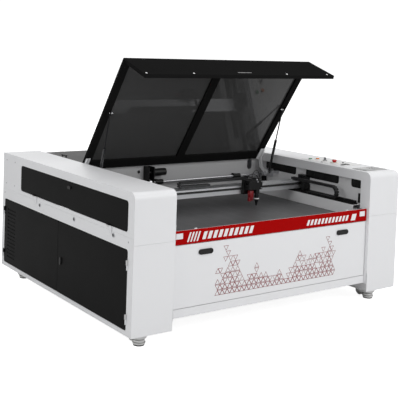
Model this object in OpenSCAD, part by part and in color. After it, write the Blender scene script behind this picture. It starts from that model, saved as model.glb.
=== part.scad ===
// Large-format laser engraving machine: two sheet-metal side cabinets, a recessed
// front, a hinged lid with two tinted panes, and a moving gantry over a lifting bed.
// Lengths are in mm. X runs along the front, Y from the front to the back, Z up.
// Inside the modules, X and Y are measured from the front left corner; place()
// puts the middle of the footprint, spigots included, at the origin on the floor.

/* [Machine] */
// Overall width, across both cabinets
machine_w = 2300; // [2200:10:2500]
// Overall depth of the cabinets
machine_d = 1980; // [1940:10:2100]
// Height of the cabinet tops above the floor
machine_h = 975; // [960:5:1000]
// Gap between the floor and the cabinets
ground_gap = 97; // [92:1:110]
// Width of each side cabinet
cabinet_w = 300; // [280:5:330]
// Radius of the rounded front top edge
edge_r = 45; // [20:1:60]
// Sheet thickness of shells and covers
sheet = 3; // [2:0.5:4]
// Step between the hood and the front of the lower cabinet, above the floor
hood_front_z = 657; // [640:1:690]
// Lower edge of the hood at the side
hood_side_z = 700; // [680:1:720]
// Depth of the lip that hangs down inside each hood
lip_h = 68; // [50:1:80]

/* [Front] */
// How far the middle front stands behind the cabinets
front_recess = 28; // [10:1:45]
// Top of the front rail
rail_top = 710; // [700:1:720]
// Height of the coloured band on the rail
band_h = 90; // [60:1:100]
// Thickness of the band plate
band_t = 2; // [1:0.5:4]
// Bottom of the front sill
sill_z = 160; // [150:1:180]
// Height of the front sill
sill_h = 55; // [40:1:70]
// Gap around each door
door_gap = 3; // [2:0.5:5]
// Length of a flush front latch
latch_l = 112; // [80:1:140]
// Height of a flush front latch
latch_h = 34; // [30:1:60]

/* [Side openings] */
// Front edge of the feed-through flap
flap_y = 75; // [60:1:100]
// Length of the feed-through flap
flap_l = 1565; // [1400:5:1600]
// Bottom of the feed-through flap
flap_z = 730; // [725:1:750]
// Height of the feed-through flap
flap_h = 185; // [150:1:190]
// Front edge of the lower doors
door_y = 67; // [50:1:90]
// Width of both lower doors together
doors_w = 1865; // [1700:5:1880]
// Bottom of the lower doors
door_z = 130; // [115:1:145]
// Height of the lower doors
door_h = 490; // [460:1:500]
// Thickness of doors and flaps
door_t = 12; // [8:1:16]

/* [Lid] */
// Opening angle of the lid as it stands
lid_open = 55; // [45:1:60]
// Lid pivot behind the front
pivot_y = 1171; // [1150:1:1200]
// Lid pivot above the floor
pivot_z = 815; // [805:1:830]
// Front edge of the closed lid
lid_front_y = 128; // [110:1:150]
// Rear edge of the closed lid
lid_rear_y = 1140; // [1120:1:1150]
// Thickness of the lid frame
lid_t = 20; // [16:1:26]
// Width of the lid's side and rear rails
lid_rail = 58; // [45:1:75]
// Width of the lid's middle rib
rib_w = 70; // [50:1:90]
// Gap between the lid and each cabinet
lid_gap = 4; // [3:0.5:8]
// Thickness of the tinted panes
pane_t = 5; // [3:0.5:8]
// Radius of the lid pivot pins
pin_r = 8; // [6:0.5:10]

/* [Gas struts] */
// Lower strut eye behind the front
strut_y = 1085; // [1075:1:1095]
// Lower strut eye above the floor
strut_z = 830; // [825:1:840]
// Upper strut eye on the closed lid, behind the front
strut_lid_y = 592; // [580:1:610]
// Radius of the strut cylinder
strut_r = 11; // [8:0.5:13]
// Radius of the strut rod
strut_rod_r = 5; // [4:0.5:6]
// Length of the strut cylinder
strut_tube_l = 285; // [260:5:300]

/* [Inside] */
// Distance from the inner walls to the cabinets' outer faces
inner_wall_x = 250; // [235:1:260]
// Rear wall of the work space
rear_wall_y = 1300; // [1295:1:1330]
// Axis of the drive motor above the floor
motor_z = 865; // [855:1:868]
// Top of the ledges beside the bed
ledge_z = 730; // [720:1:740]
// How far the ledges beside the bed reach in from the cabinets
ledge_w = 70; // [50:1:90]
// Surface of the bed
bed_z = 650; // [640:1:656]
// Rear deck height
deck_z = 960; // [955:1:970]
// Distance of the gantry beam from the front
gantry_y = 760; // [700:1:800]
// Top of the gantry beam
beam_top = 812; // [805:1:820]
// Height of the gantry beam
beam_h = 60; // [50:1:70]
// Depth of the gantry beam
beam_d = 60; // [50:1:80]
// Carriage position along the beam
head_x = 1490; // [1200:10:1600]
// Gap between the nozzle and the bed
focus_gap = 12; // [6:1:20]
// Radius of the laser tube
tube_r = 40; // [30:1:45]
// Length of the laser tube
tube_l = 1650; // [1400:10:1700]
// Radius of the drive shaft
shaft_r = 10; // [8:0.5:12]

/* [Rear] */
// Radius of the exhaust spigots
spigot_r = 75; // [50:1:100]
// How far the exhaust spigots stand out
spigot_out = 60; // [40:1:80]
// Height of the exhaust spigots above the floor
spigot_z = 520; // [480:5:600]

/* [Casters] */
// Caster distance from the cabinet's outer face
caster_x = 138; // [125:1:150]
// Caster distance from the front and the rear
caster_y = 130; // [125:1:160]
// Radius of a wheel
wheel_r = 37; // [30:1:40]
// Width of a wheel
wheel_w = 26; // [20:1:30]
// Distance from the swivel to the wheel axle
trail = 78; // [72:1:85]
// Radius of the levelling pad
pad_r = 42; // [34:1:43]

/* [Controls] */
// Distance of the control plate from the front
panel_y = 330; // [300:1:360]
// Length of the control plate
panel_l = 470; // [440:5:500]
// Distance of the display from the front
display_y = 82; // [75:1:100]

/* [Hidden] */
W = machine_w;
D = machine_d;
H = machine_h;
c = 0.5;                       // plain assembly clearance
run = 0.05;                    // radial clearance of a running fit
eps = 0.01;
R = W - cabinet_w;             // inner face of the right cabinet
open_w = W - 2 * cabinet_w;    // opening between the cabinets
fy = front_recess;             // front plane of the middle
lid_x0 = cabinet_w + lid_gap;
lid_x1 = R - lid_gap;
lid_w = lid_x1 - lid_x0;
more_d = D - 1980;              // extra depth over the standard machine
flap_len_y = flap_l + more_d;   // flap and doors keep their margins to the back
doors_len = doors_w + more_d;
cx = W - inner_wall_x;          // line of the right inner wall
ledge_x = cabinet_w + ledge_w;  // inner edge of the left ledge
band_z = rail_top - band_h;
door_top = band_z - door_gap;
sill_top = sill_z + sill_h;
WHITE = "gainsboro"; BLACK = [0.08, 0.08, 0.09]; RED = [0.62, 0, 0.02];

module place() translate([-W / 2, -(D + spigot_out) / 2, 0]) children();
// a box between two corners
module bx(a, b) translate(a) cube(b - a);
// mirrors the children about the machine's middle plane
module other_side() translate([W, 0, 0]) mirror([1, 0, 0]) children();
// both sides at once
module both() { children(); other_side() children(); }
// a plate in the YZ plane with round corners, t thick along +X
module yz_plate(x, y, z, l, h, t, r)
  translate([x, y, z]) rotate([90, 0, 90]) linear_extrude(t) round_rect(l, h, r);
// a plate in the XZ plane with round corners, t thick along +Y
module xz_plate(x, y, z, l, h, t, r)
  translate([x, y + t, z]) rotate([90, 0, 0]) linear_extrude(t) round_rect(l, h, r);
// a rectangle with round corners and true arcs
module round_rect(l, h, r) {
  translate([r, 0]) square([l - 2 * r, h]);
  translate([0, r]) square([l, h - 2 * r]);
  for (x = [r, l - r], y = [r, h - r]) translate([x, y]) circle(r, $fn = 48);
}
module rod_x(x, y, z, l, r) translate([x, y, z]) rotate([0, 90, 0]) cylinder(h = l, r = r, $fn = 48);
module rod_y(x, y, z, l, r) translate([x, y, z]) rotate([-90, 0, 0]) cylinder(h = l, r = r, $fn = 48);
module rod_z(x, y, z, l, r) translate([x, y, z]) cylinder(h = l, r = r, $fn = 48);

// ---------- lid geometry ----------
lid_top = H;
lid_bot = H - lid_t;
strut_lid_z = lid_bot - 11;    // upper strut eye on the closed lid
// a point of the closed lid, turned by a about the pivot
function turned(y, z, a) = [
  pivot_y + (y - pivot_y) * cos(a) + (z - pivot_z) * sin(a),
  pivot_z - (y - pivot_y) * sin(a) + (z - pivot_z) * cos(a)];
strut_top = turned(strut_lid_y, strut_lid_z, lid_open);
strut_dy = strut_top[0] - strut_y;
strut_dz = strut_top[1] - strut_z;
strut_l = sqrt(strut_dy * strut_dy + strut_dz * strut_dz);
strut_a = atan2(strut_dz, strut_dy);
strut_x = lid_x0 + 46;  // plane of the strut
module lid_pose() translate([0, pivot_y, pivot_z]) rotate([-lid_open, 0, 0]) translate([0, -pivot_y, -pivot_z]) children();

// ---------- frame ----------
tube = 60;
frame_z = ground_gap + 8;
module square_tube_y(x, y0, y1, z) difference() {
  bx([x, y0, z], [x + tube, y1, z + tube]);
  bx([x + 4, y0 - 1, z + 4], [x + tube - 4, y1 + 1, z + tube - 4]);
}
module square_tube_x(x0, x1, y, z) difference() {
  bx([x0, y, z], [x1, y + tube, z + tube]);
  bx([x0 - 1, y + 4, z + 4], [x1 + 1, y + tube - 4, z + tube - 4]);
}
module base_frame() color("dimgray") {
  both() {
    for (x = [sheet + door_t + 6, cabinet_w - tube - 10]) square_tube_y(x, sheet + c, D - sheet - c, frame_z);
    // caster plates under the tubes, each with four bolt holes and a swivel hole
    for (y = [caster_y, D - caster_y]) difference() {
      bx([20, y - 60, ground_gap], [cabinet_w - 8, y + 60, frame_z]);
      for (dx = [-45, 45], dy = [-45, 45]) rod_z(caster_x + dx, y + dy, ground_gap - 1, 12, 4.5);
    }
    // posts up to the ledge
    for (y = [200, rear_wall_y - 120]) bx([cabinet_w - tube - 10, y, frame_z + 2 * tube], [cabinet_w - 10, y + 40, ledge_z - 48]);
  }
  for (y = [120, screw_y - tube / 2, rear_wall_y - tube, D - 180]) square_tube_x(sheet + door_t + 6, W - sheet - door_t - 6, y, frame_z + tube);
}

// Hollow cabinet profile in the YZ plane, with a round front top edge
module hood_profile(inset, z0) {
  r = edge_r - inset;
  difference() {
    union() {
      translate([inset, z0]) square([D - 2 * inset, H - edge_r - z0]);
      translate([edge_r, z0]) square([D - edge_r - inset, H - inset - z0]);
      translate([edge_r, H - edge_r]) circle(r, $fn = 96);
    }
  }
}
module hood_shell() difference() {
  union() {
    rotate([90, 0, 90]) linear_extrude(cabinet_w) hood_profile(0, hood_side_z);
    bx([0, 0, hood_front_z], [cabinet_w, sheet, hood_side_z + 1]);
  }
  // hollow inside, open at the bottom, and open above the work space
  translate([sheet, 0, 0]) rotate([90, 0, 90]) linear_extrude(cabinet_w - 2 * sheet) hood_profile(sheet, hood_side_z - 2);
  bx([cabinet_w - 2 * sheet, 95, hood_side_z - 2], [cabinet_w + 1, rear_wall_y + 6, H - lip_h]);
  bx([cabinet_w - 2 * sheet, rear_wall_y + 6, hood_side_z - 2], [cabinet_w + 1, D - 60, H - 20]);
}
module screw_x(y, z) rod_x(-1.6, y, z, 1.6, 6);
module left_hood() color(WHITE) difference() {
  hood_shell();
  yz_plate(-1, flap_y - door_gap, flap_z - door_gap, flap_len_y + 2 * door_gap, flap_h + 2 * door_gap, sheet + 2, 22);
}
module right_hood() color(WHITE) difference() {
  other_side() hood_shell();
  // openings for the control plate and the display
  bx([panel_x0 + 8, panel_y + 8, H - 5], [panel_x1 - 8, panel_y + panel_l - 8, H + 1]);
  bx([cx - 10, display_y + 8, H - 5], [W - 52, display_y + 128, H + 1]);
}
module cabinet_shell() difference() {
  bx([0, 0, ground_gap], [cabinet_w, D, hood_side_z - c]);
  // inside, open at the top and the bottom
  bx([sheet, sheet, ground_gap - 1], [cabinet_w - sheet, D - sheet, hood_side_z + 1]);
  // room for the cross tubes and for the hood's front apron
  bx([cabinet_w - sheet - 1, -1, ground_gap - 1], [cabinet_w + 1, D + 1, frame_z + 2 * tube + 12]);
  bx([-1, -1, hood_front_z - c], [cabinet_w + 1, sheet + 1, H]);
  // room for the ledge and for the rear chassis
  bx([cabinet_w - sheet - 1, fy + 30, 560], [cabinet_w + 1, D - sheet, H]);
}
module left_cabinet() color(WHITE) {
  difference() {
    cabinet_shell();
    yz_plate(-1, door_y - door_gap, door_z - door_gap, doors_len + 2 * door_gap, door_h + 2 * door_gap, sheet + 2, 16);
  }
  // three quarter-turn locks and small screws in the strip above the doors
  for (y = [door_y + 172, door_y + 0.375 * doors_len, door_y + 0.663 * doors_len]) rod_x(-3, y, (hood_front_z + hood_side_z) / 2 - 1.5, 3, 12);
  for (y = [door_y + 245, door_y + 0.63 * doors_len]) screw_x(y, hood_front_z - 3);
  // fixed halves of the door hinges and of the flap hinges
  for (y = [door_y - 8, door_y + doors_len + 8], z = hinge_zs) hinge_z_fixed(y, z);
  for (y = flap_hinge_y) flap_hinge_fixed(y);
}
// the flap's fixed hinge halves stand on a strip under the hood's opening
module flap_hinge_fixed(y) {
  rod_y(hinge_x, y - knuckle, flap_pz, knuckle - 0.5, hinge_r);
  rod_y(hinge_x, y - 1, flap_pz, knuckle, 2.5);
  bx([hinge_x - 2, y - knuckle, 690], [-1, y - 0.5, flap_pz]);
  bx([hinge_x - 2, y - knuckle, 684], [0, y - 0.5, 696]);
}
module right_cabinet() color(WHITE) {
  other_side() cabinet_shell();
  // plain service cover on the outer side, held by screws
  difference() {
    bx([W, door_y, door_z], [W + 2, door_y + doors_len, door_z + door_h]);
    for (k = [0 : 7]) bx([W - 1, D - 300, 230 + k * 40], [W + 3, D - 140, 246 + k * 40]);
  }
  for (y = [door_y + 20, door_y + doors_len / 2, door_y + doors_len - 20], z = [door_z + 20, door_z + door_h - 20])
    rod_x(W + 2, y, z, 1.6, 6);
}
module inner_walls() color(WHITE) {
  both() wall_with_windows();
  ledges();
}
module wall_with_windows() difference() {
  union() {
    bx([inner_wall_x - sheet, 40, ledge_z + c], [inner_wall_x, rear_wall_y - c, H - sheet - 8]);
    // angle that carries the wall under the hood
    bx([inner_wall_x - sheet, 40, H - sheet - 8], [inner_wall_x + 35, rear_wall_y - c, H - sheet - c]);
  }
  // three windows with round lower corners, closed by brush strips behind
  for (w = [[100, 142], [373, 372], [862, 378]])
    yz_plate(inner_wall_x - sheet - 1, w[0], ledge_z + 105, w[1], 90, sheet + 2, 20);
}
module ledges() both() {
  // box rail beside the bed, with the chain tray on it
  difference() {
    bx([inner_wall_x - 45, 100, ledge_z - 42], [ledge_x, rear_wall_y - c, ledge_z]);
    bx([inner_wall_x - 42, 99, ledge_z - 39], [ledge_x - 3, rear_wall_y, ledge_z - 3]);
  }
  bx([ledge_x - 3, 100, bed_z - 40], [ledge_x, rear_wall_y - 40, ledge_z - 42]);
}
module front_rail() color(WHITE) {
  // folded front rail behind the band, and the fixed sill under the door
  difference() {
    bx([cabinet_w + c, fy, band_z], [R - c, fy + 60, rail_top - 40]);
    bx([cabinet_w + sheet, fy + sheet, band_z - 1], [R - sheet, fy + 60 - sheet, rail_top - 40 - sheet]);
  }
  bx([cabinet_w + c, fy, rail_top - 41], [R - c, fy + 5, rail_top]);
  bx([cabinet_w + c, fy + 46, rail_top - 41], [R - c, fy + 49, rail_top - 16]);
  difference() {
    bx([cabinet_w + c, fy, sill_z], [R - c, fy + 60, sill_top]);
    bx([cabinet_w - 1, fy + sheet, sill_z + sheet], [R + 1, fy + 61, sill_top + 1]);
  }
  // white marker plates at the ends of the band, and two small stops on its top
  for (x = [cabinet_w + 20, R - 20 - 52]) bx([x, fy - band_t - 1.5, band_z + 38], [x + 52, fy - band_t, band_z + 74]);
  for (x = [472, W - 498]) bx([x - 9, fy, rail_top - 1], [x + 9, fy + 8, rail_top + 7]);
  // lugs with the pivot pins of the front door
  both() {
    bx([cabinet_w + c, fy + 1, sill_top - 2], [fd_x0 - 0.5, fy + 12, fd_pz + 6]);
    rod_x(cabinet_w + 1, fd_py, fd_pz, 8, 2.5);
  }
}
module red_band() color(RED) bx([cabinet_w + 1, fy - band_t, band_z + 1], [R - 1, fy, rail_top]);

// ---------- rear ----------
module rear_wall() color(WHITE) {
  difference() {
    union() {
      bx([cabinet_w + c, rear_wall_y, frame_z + 2 * tube + 2], [R - c, rear_wall_y + sheet, deck_z - 10]);
      bx([inner_wall_x, rear_wall_y, ledge_z - 60], [W - inner_wall_x, rear_wall_y + sheet, H - lip_h - 2]);
    }
    rod_y(motor_x - 85, rear_wall_y - 1, motor_z + 3, 6, 12);
    translate([W - 410, rear_wall_y + 5, motor_z - 36]) rotate([90, 0, 0]) linear_extrude(7) round_rect(48, 86, 22);
    // beam passage from the tube space
    rod_y(420, rear_wall_y - 1, 800, 6, 20);
  }
}
module rear_chassis() color(WHITE) {
  difference() {
    bx([inner_wall_x, rear_wall_y + sheet, 757], [W - inner_wall_x, D - 62, 760]);
    for (x = [W / 2 - 650, W / 2, W / 2 + 650]) rod_z(x, D - 120, 750, 20, 30);
  }
  // closing strips in front of and beside the deck
  bx([cabinet_w + c, rear_wall_y + sheet, deck_z - 22], [R - c, rear_wall_y + 15, deck_z - 8]);
}
module rear_panel() color(WHITE) {
  difference() {
    bx([cabinet_w + c, D - sheet, sill_z], [R - c, D, deck_z - 12]);
    for (x = [560, W - 560]) rod_y(x, D - 10, spigot_z, 20, spigot_r - 2);
    for (k = [0 : 9]) bx([900 + k * 50, D - 10, 300], [930 + k * 50, D + 1, 420]);
    bx([1480, D - 10, 250], [1528, D + 1, 278]);
    for (x = [350, 400]) rod_y(x, D - 10, 300, 20, 8);
  }
  // fixed barrels and pins of the deck's hinge
  for (x = deck_hinge_x) {
    bx([x - 30.5, D - 8, deck_z - 14], [x - 0.5, D - 3, deck_pz]);
    rod_x(x - 30.5, deck_py, deck_pz, 30, 3);
    rod_x(x - 1, deck_py, deck_pz, 60, 2.5);
  }
  // exhaust spigots, power inlet and water fittings
  for (x = [560, W - 560]) difference() {
    rod_y(x, D - sheet, spigot_z, sheet + spigot_out, spigot_r);
    rod_y(x, D - sheet - 1, spigot_z, sheet + spigot_out + 2, spigot_r - 2);
  }
  difference() {
    bx([1480, D - 40, 250], [1528, D + 2, 278]);
    bx([1490, D - 20, 255], [1518, D + 3, 273]);
    }
  for (x = [350, 400]) difference() {
    rod_y(x, D - 30, 300, 55, 8);
    rod_y(x, D - 31, 300, 57, 4);
  }
}
// black deck over the tube space, hinged at the back
deck_x0 = cabinet_w + 3;
deck_x1 = R - 3;
deck_y0 = rear_wall_y + 5;
deck_y1 = D - 12;
deck_py = D - 6;
deck_pz = deck_z - 4;
deck_hinge_x = [cabinet_w + 150, W / 2 - 30, R - 210];
module rear_deck() color([0.2, 0.2, 0.21]) {
  difference() {
    bx([deck_x0, deck_y0, deck_z - 8], [deck_x1, deck_y1, deck_z]);
    bx([deck_x0 + 3, deck_y0 + 3, deck_z - 9], [deck_x1 - 3, deck_y1 - 3, deck_z - 3]);
    for (k = [0 : 11]) bx([1850 - k * 24, 1500, deck_z - 10], [1860 - k * 24, 1700, deck_z + 1]);
  }
  // barrels of the rear hinge
  for (x = deck_hinge_x) difference() {
    union() {
      rod_x(x, deck_py, deck_pz, 60, 4);
      bx([x, deck_y1 - 3, deck_pz - 4], [x + 60, deck_py, deck_pz]);
    }
    rod_x(x - 1, deck_py, deck_pz, 62, 2.5 + run);
  }
  // pull handle near the left end
  for (y = [1600, 1660]) rod_z(deck_x0 + 42, y, deck_z, 16, 5);
  bx([deck_x0 + 36, 1592, deck_z + 16], [deck_x0 + 48, 1668, deck_z + 24]);
}

// ---------- lid ----------
module lid_frame() color(BLACK) lid_pose() difference() {
  union() {
    difference() {
      bx([lid_x0, lid_front_y, lid_bot], [lid_x1, lid_rear_y, lid_top]);
      for (x = [[lid_x0 + lid_rail, W / 2 - rib_w / 2], [W / 2 + rib_w / 2, lid_x1 - lid_rail]]) {
        bx([x[0], lid_front_y + lid_rail, lid_bot - 1], [x[1], lid_rear_y - lid_rail - 20, lid_top + 1]);
        // rebate that takes the pane from above
        bx([x[0] - 12, lid_front_y + lid_rail - 12, lid_top - pane_t - 1], [x[1] + 12, lid_rear_y - lid_rail - 8, lid_top + 1]);
      }
    }
    // brackets that carry the upper strut eyes
    both() bx([strut_x - 20, strut_lid_y - 20, lid_bot - 22], [strut_x - 14, strut_lid_y + 20, lid_bot + 5]);
  }
}
flap_skirt = 26;
flap_dy = lid_front_y - fy - 14;
flap_dz = lid_top - (rail_top - 28);
flap_len = sqrt(flap_dy * flap_dy + flap_dz * flap_dz);
flap_a = atan2(flap_dz, flap_dy);
module lid_flap() color(BLACK) lid_pose() difference() {
  translate([0, lid_front_y, lid_top]) rotate([flap_a, 0, 0]) difference() {
    union() {
      bx([lid_x0, -flap_len, -flap_skirt], [lid_x1, 0, 0]);
      // four bright buttons near the free edge
      for (x = [lid_x0 + 12, lid_x0 + 390 * lid_w / 1692, lid_x0 + 1221 * lid_w / 1692, lid_x1 - 69]) rod_z(x, -flap_len + 12, -1, 6, 7);
    }
    bx([lid_x0 + 3, -flap_len + 3, -flap_skirt - 1], [lid_x1 - 3, 0, -3]);
    // grip slot
    bx([W / 2 - 52, -flap_len + 42, -4], [W / 2 + 72, -flap_len + 54, 1]);
  }
  // the flap ends against the lid frame
  bx([lid_x0 - 1, lid_front_y - c, lid_bot - 40], [lid_x1 + 1, lid_front_y + 60, lid_top + 40]);
}
module lid_glass() color([0.25, 0.27, 0.28, 0.7]) lid_pose()
  for (x = [[lid_x0 + lid_rail, W / 2 - rib_w / 2], [W / 2 + rib_w / 2, lid_x1 - lid_rail]])
    bx([x[0] - 11, lid_front_y + lid_rail - 11, lid_top - pane_t - 1], [x[1] + 11, lid_rear_y - lid_rail - 9, lid_top - 1]);
arm_x = lid_x0 + 5;
arm_t = 8;
module lid_arms() color(WHITE) lid_pose() both() difference() {
  union() {
    rod_x(arm_x, pivot_y, pivot_z, arm_t, 18);
    // bent arm with a flange under the lid's side rail
    translate([arm_x, 0, 0]) rotate([90, 0, 90]) linear_extrude(arm_t) polygon([
      [pivot_y + 16, pivot_z], [pivot_y + 16, lid_bot - 52], [lid_rear_y - 2, lid_bot - c], [lid_rear_y - 110, lid_bot - c],
      [lid_rear_y - 110, lid_bot - 14], [lid_rear_y - 30, lid_bot - 26], [pivot_y - 16, lid_bot - 66], [pivot_y - 16, pivot_z]]);
    bx([arm_x, lid_rear_y - 110, lid_bot - c - 4], [arm_x + 36, lid_rear_y - 2, lid_bot - c]);
  }
  rod_x(arm_x - 1, pivot_y, pivot_z, arm_t + 2, pin_r + run);
}
module lid_pivots() color("silver") both() {
  // block on the inner wall, with the pin that the lid arm turns on
  bx([inner_wall_x + c, pivot_y - 26, pivot_z - 30], [arm_x - 2, pivot_y + 26, pivot_z + 30]);
  rod_x(arm_x - 3, pivot_y, pivot_z, arm_t + 10, pin_r);
  rod_x(arm_x + arm_t + 1.5, pivot_y, pivot_z, 4, pin_r + 5);
  // lower strut mount, an arm from the inner wall with its pin
  bx([inner_wall_x + c, strut_y - 14, strut_z - 10], [strut_x - strut_r - 2, strut_y + 14, strut_z + 10]);
  rod_x(strut_x - strut_r - 3, strut_y, strut_z, strut_r + 9, 4);
}
// strut along +Y from its lower eye, turned into place
module strut_pose() translate([0, strut_y, strut_z]) rotate([strut_a, 0, 0]) children();
module strut_tube() color(BLACK) strut_pose() difference() {
  union() {
    rod_y(strut_x, 16, 0, strut_tube_l - 16, strut_r);
    bx([strut_x - 4, -3, -6], [strut_x + 4, 20, 6]);
    rod_x(strut_x - 4, 0, 0, 8, 10);
  }
  rod_x(strut_x - 5, 0, 0, 10, 4 + run);
  rod_y(strut_x, 40, 0, strut_tube_l, strut_rod_r + run);
}
module strut_rod() color("silver") strut_pose() {
  rod_y(strut_x, strut_l - 330, 0, 318, strut_rod_r);
  // flat eye that lies beside the lid's bracket
  bx([strut_x - 13.5, strut_l - 16, -6], [strut_x + 5, strut_l - 8, 6]);
  difference() {
    union() {
      bx([strut_x - 13.5, strut_l - 16, -6], [strut_x - 8.5, strut_l, 6]);
      rod_x(strut_x - 13.5, strut_l, 0, 5, 8);
    }
    rod_x(strut_x - 14, strut_l, 0, 6, 4);
  }
}

// ---------- side doors and flap ----------
// fixed half of an upright side hinge, with its pin
knuckle = 30;
hinge_x = -6;
hinge_r = 4.5;
module hinge_z_fixed(y, z) {
  rod_z(hinge_x, y, z - knuckle, knuckle - 0.5, hinge_r);
  bx([hinge_x, y - hinge_r, z - knuckle], [0, y + hinge_r, z - 0.5]);
  rod_z(hinge_x, y, z - 1, knuckle, 2.5);
}
// moving half, bored for the pin
module hinge_z_moving(y, z, s) {
  difference() {
    union() {
      rod_z(hinge_x, y, z, knuckle, hinge_r);
      bx([hinge_x - hinge_r, min(y, y + s * 14), z], [-1, max(y, y + s * 14), z + knuckle]);
    }
    rod_z(hinge_x, y, z - 1, knuckle + 2, 2.5 + run);
  }
}
module hinge_y_moving(y, z) difference() {
  union() {
    rod_y(hinge_x, y, z, knuckle, hinge_r);
    bx([hinge_x - hinge_r, y, z], [-1, y + knuckle, z + 14]);
  }
  rod_y(hinge_x, y - 1, z, knuckle + 2, 2.5 + run);
}
hinge_zs = [200, 530];
flap_hinge_y = [flap_y + 215, flap_y + flap_len_y - 256];
flap_pz = flap_z - 6;

module left_flap() color(BLACK) difference() {
  union() {
    yz_plate(-1, flap_y, flap_z, flap_len_y, flap_h, door_t, 20);
    for (y = flap_hinge_y) hinge_y_moving(y, flap_pz);
  }
  yz_plate(2, flap_y + 8, flap_z + 8, flap_len_y - 16, flap_h - 16, door_t, 12);
  rod_x(-3, flap_lx, flap_lz, 8, 12 + run);
}
flap_lx = flap_y + flap_len_y / 2 - 12.5;
flap_lz = flap_z + flap_h - 38;
module left_flap_latch() color("dimgray") {
  rod_x(-4, flap_lx, flap_lz, 20, 12);
  yz_plate(-9, flap_lx - 22, flap_lz - 10, 44, 20, 5, 9.9);
  bx([12, flap_lx - 6, flap_lz - 6], [15, flap_lx + 52, flap_lz + 6]);
}
half_w = (doors_len - door_gap) / 2;
module door_panel(y) {
  difference() {
    union() {
      yz_plate(-1, y, door_z, half_w, door_h, door_t, 14);
      children();
    }
    yz_plate(2, y + 8, door_z + 8, half_w - 16, door_h - 16, door_t, 8);
  }
}
door_lx = door_y + half_w - 48;
door_lz = 353;
module left_door_front() color(BLACK) difference() {
  door_panel(door_y) for (z = hinge_zs) hinge_z_moving(door_y - 8, z, 1);
  rod_x(-3, door_lx, door_lz, 8, 14 + run);
}
module left_door_rear() color(BLACK) difference() {
  door_panel(door_y + half_w + door_gap) for (z = hinge_zs) hinge_z_moving(door_y + doors_len + 8, z, -1);
  for (k = [0 : 13]) bx([-2, door_y + doors_len - 204, 180 + k * 28], [4, door_y + doors_len - 64, 190 + k * 28]);
}
module left_door_latch() color("dimgray") {
  rod_x(-4, door_lx, door_lz, 20, 14);
  yz_plate(-9, door_lx - 10, door_lz - 26, 20, 52, 5, 9.9);
  bx([12, door_lx - 6, door_lz - 62], [15, door_lx + 6, door_lz + 6]);
}

// ---------- front door ----------
fd_x0 = cabinet_w + door_gap;
fd_x1 = R - door_gap;
latch_z = 560;
latch_x = [cabinet_w + 253, R - 241];
latch_r = 12;
fd_py = fy + 6;                      // pivot of the front door
fd_pz = sill_top + door_gap + 6;
module front_door() color(WHITE) difference() {
  bx([fd_x0, fy, sill_top + door_gap], [fd_x1, fy + 18, door_top]);
  bx([fd_x0 + 3, fy + 3, sill_top + door_gap + 3], [fd_x1 - 3, fy + 19, door_top - 3]);
  for (x = latch_x) rod_y(x, fy - 1, latch_z, 6, latch_r + run);
  both() rod_x(fd_x0 - 1, fd_py, fd_pz, 6, 2.5 + run);
}
// oval latch plate on a short shaft, with a cam that turns behind the rail
module front_latch(x) color(BLACK) {
  difference() {
    xz_plate(x - latch_l / 2, fy - 7, latch_z - latch_h / 2, latch_l, latch_h, 6.5, latch_h / 2 - 0.1);
    xz_plate(x - latch_l / 2 + 8, fy - 8, latch_z - latch_h / 2 + 8, latch_l - 16, latch_h - 16, 3.5, latch_h / 2 - 8.1);
  }
  rod_y(x, fy - 1, latch_z, 24, latch_r);
  bx([x - 8, fy + 19, latch_z - 8], [x + 76, fy + 23, latch_z + 8]);
}

// ---------- motion system ----------
rail_x = inner_wall_x + 30;          // middle of the Y rail
end_x0 = inner_wall_x + 6;
end_x1 = cabinet_w + 2;
shaft_y = rear_wall_y - 52;
shaft_z = 790;
motor_x = 905;
module y_axis() color(BLACK) {
  both() {
    // guide rail on the ledge, and the belt's front idler
    color("silver") bx([rail_x - 10, 160, ledge_z], [rail_x + 10, rear_wall_y - 100, ledge_z + 15]);
    bx([inner_wall_x + 4, 102, ledge_z], [inner_wall_x + 16, 150, ledge_z + 70]);
    // bearing blocks of the drive shaft
    difference() {
      bx([inner_wall_x + 6, shaft_y - 24, ledge_z], [inner_wall_x + 22, shaft_y + 24, shaft_z + 24]);
      rod_x(inner_wall_x, shaft_y, shaft_z, 40, shaft_r + run);
    }
    // tray for the drag chain, on the ledge's inner part
    difference() {
      bx([cabinet_w + 22, 100, ledge_z], [ledge_x - 2, 1060, ledge_z + 14]);
      bx([cabinet_w + 24, 99, ledge_z + 2], [ledge_x - 4, 1061, ledge_z + 15]);
    }
  }
  // motor bracket on the rear wall: back plate and two cheeks bored for the shaft
  bx([motor_x - 43, rear_wall_y - 8, shaft_z - 30], [motor_x + 12, rear_wall_y, motor_z + 47]);
  for (x = [motor_x - 43, motor_x + 6]) difference() {
    bx([x, rear_wall_y - 78, shaft_z - 30], [x + 6, rear_wall_y, motor_z + 47]);
    rod_x(x - 1, shaft_y, shaft_z, 8, shaft_r + run);
  }
  // motor with its flange and the small pulley on its axle
  rod_x(motor_x + 12, rear_wall_y - 38, motor_z, 118, 29);
  bx([motor_x + 12, rear_wall_y - 68, motor_z - 30], [motor_x + 20, rear_wall_y - 8, motor_z + 30]);
  rod_x(motor_x - 30, rear_wall_y - 38, motor_z, 38, 9);
  // middle bearings of the shaft
  for (x = [motor_x + 30, W - 600]) difference() {
    union() {
      rod_x(x, shaft_y, shaft_z, 70, 20);
      bx([x + 25, shaft_y, shaft_z - 16], [x + 45, rear_wall_y, shaft_z + 16]);
    }
    rod_x(x - 1, shaft_y, shaft_z, 72, shaft_r + run);
  }
}
module drive_shaft() color("silver") {
  rod_x(inner_wall_x + 5, shaft_y, shaft_z, W - 2 * inner_wall_x - 10, shaft_r);
  // belt pulleys near the ends, and the driven pulley by the motor
  both() rod_x(inner_wall_x + 24, shaft_y, shaft_z, 14, 19);
  rod_x(motor_x - 30, shaft_y, shaft_z, 20, 26);
}
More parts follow.
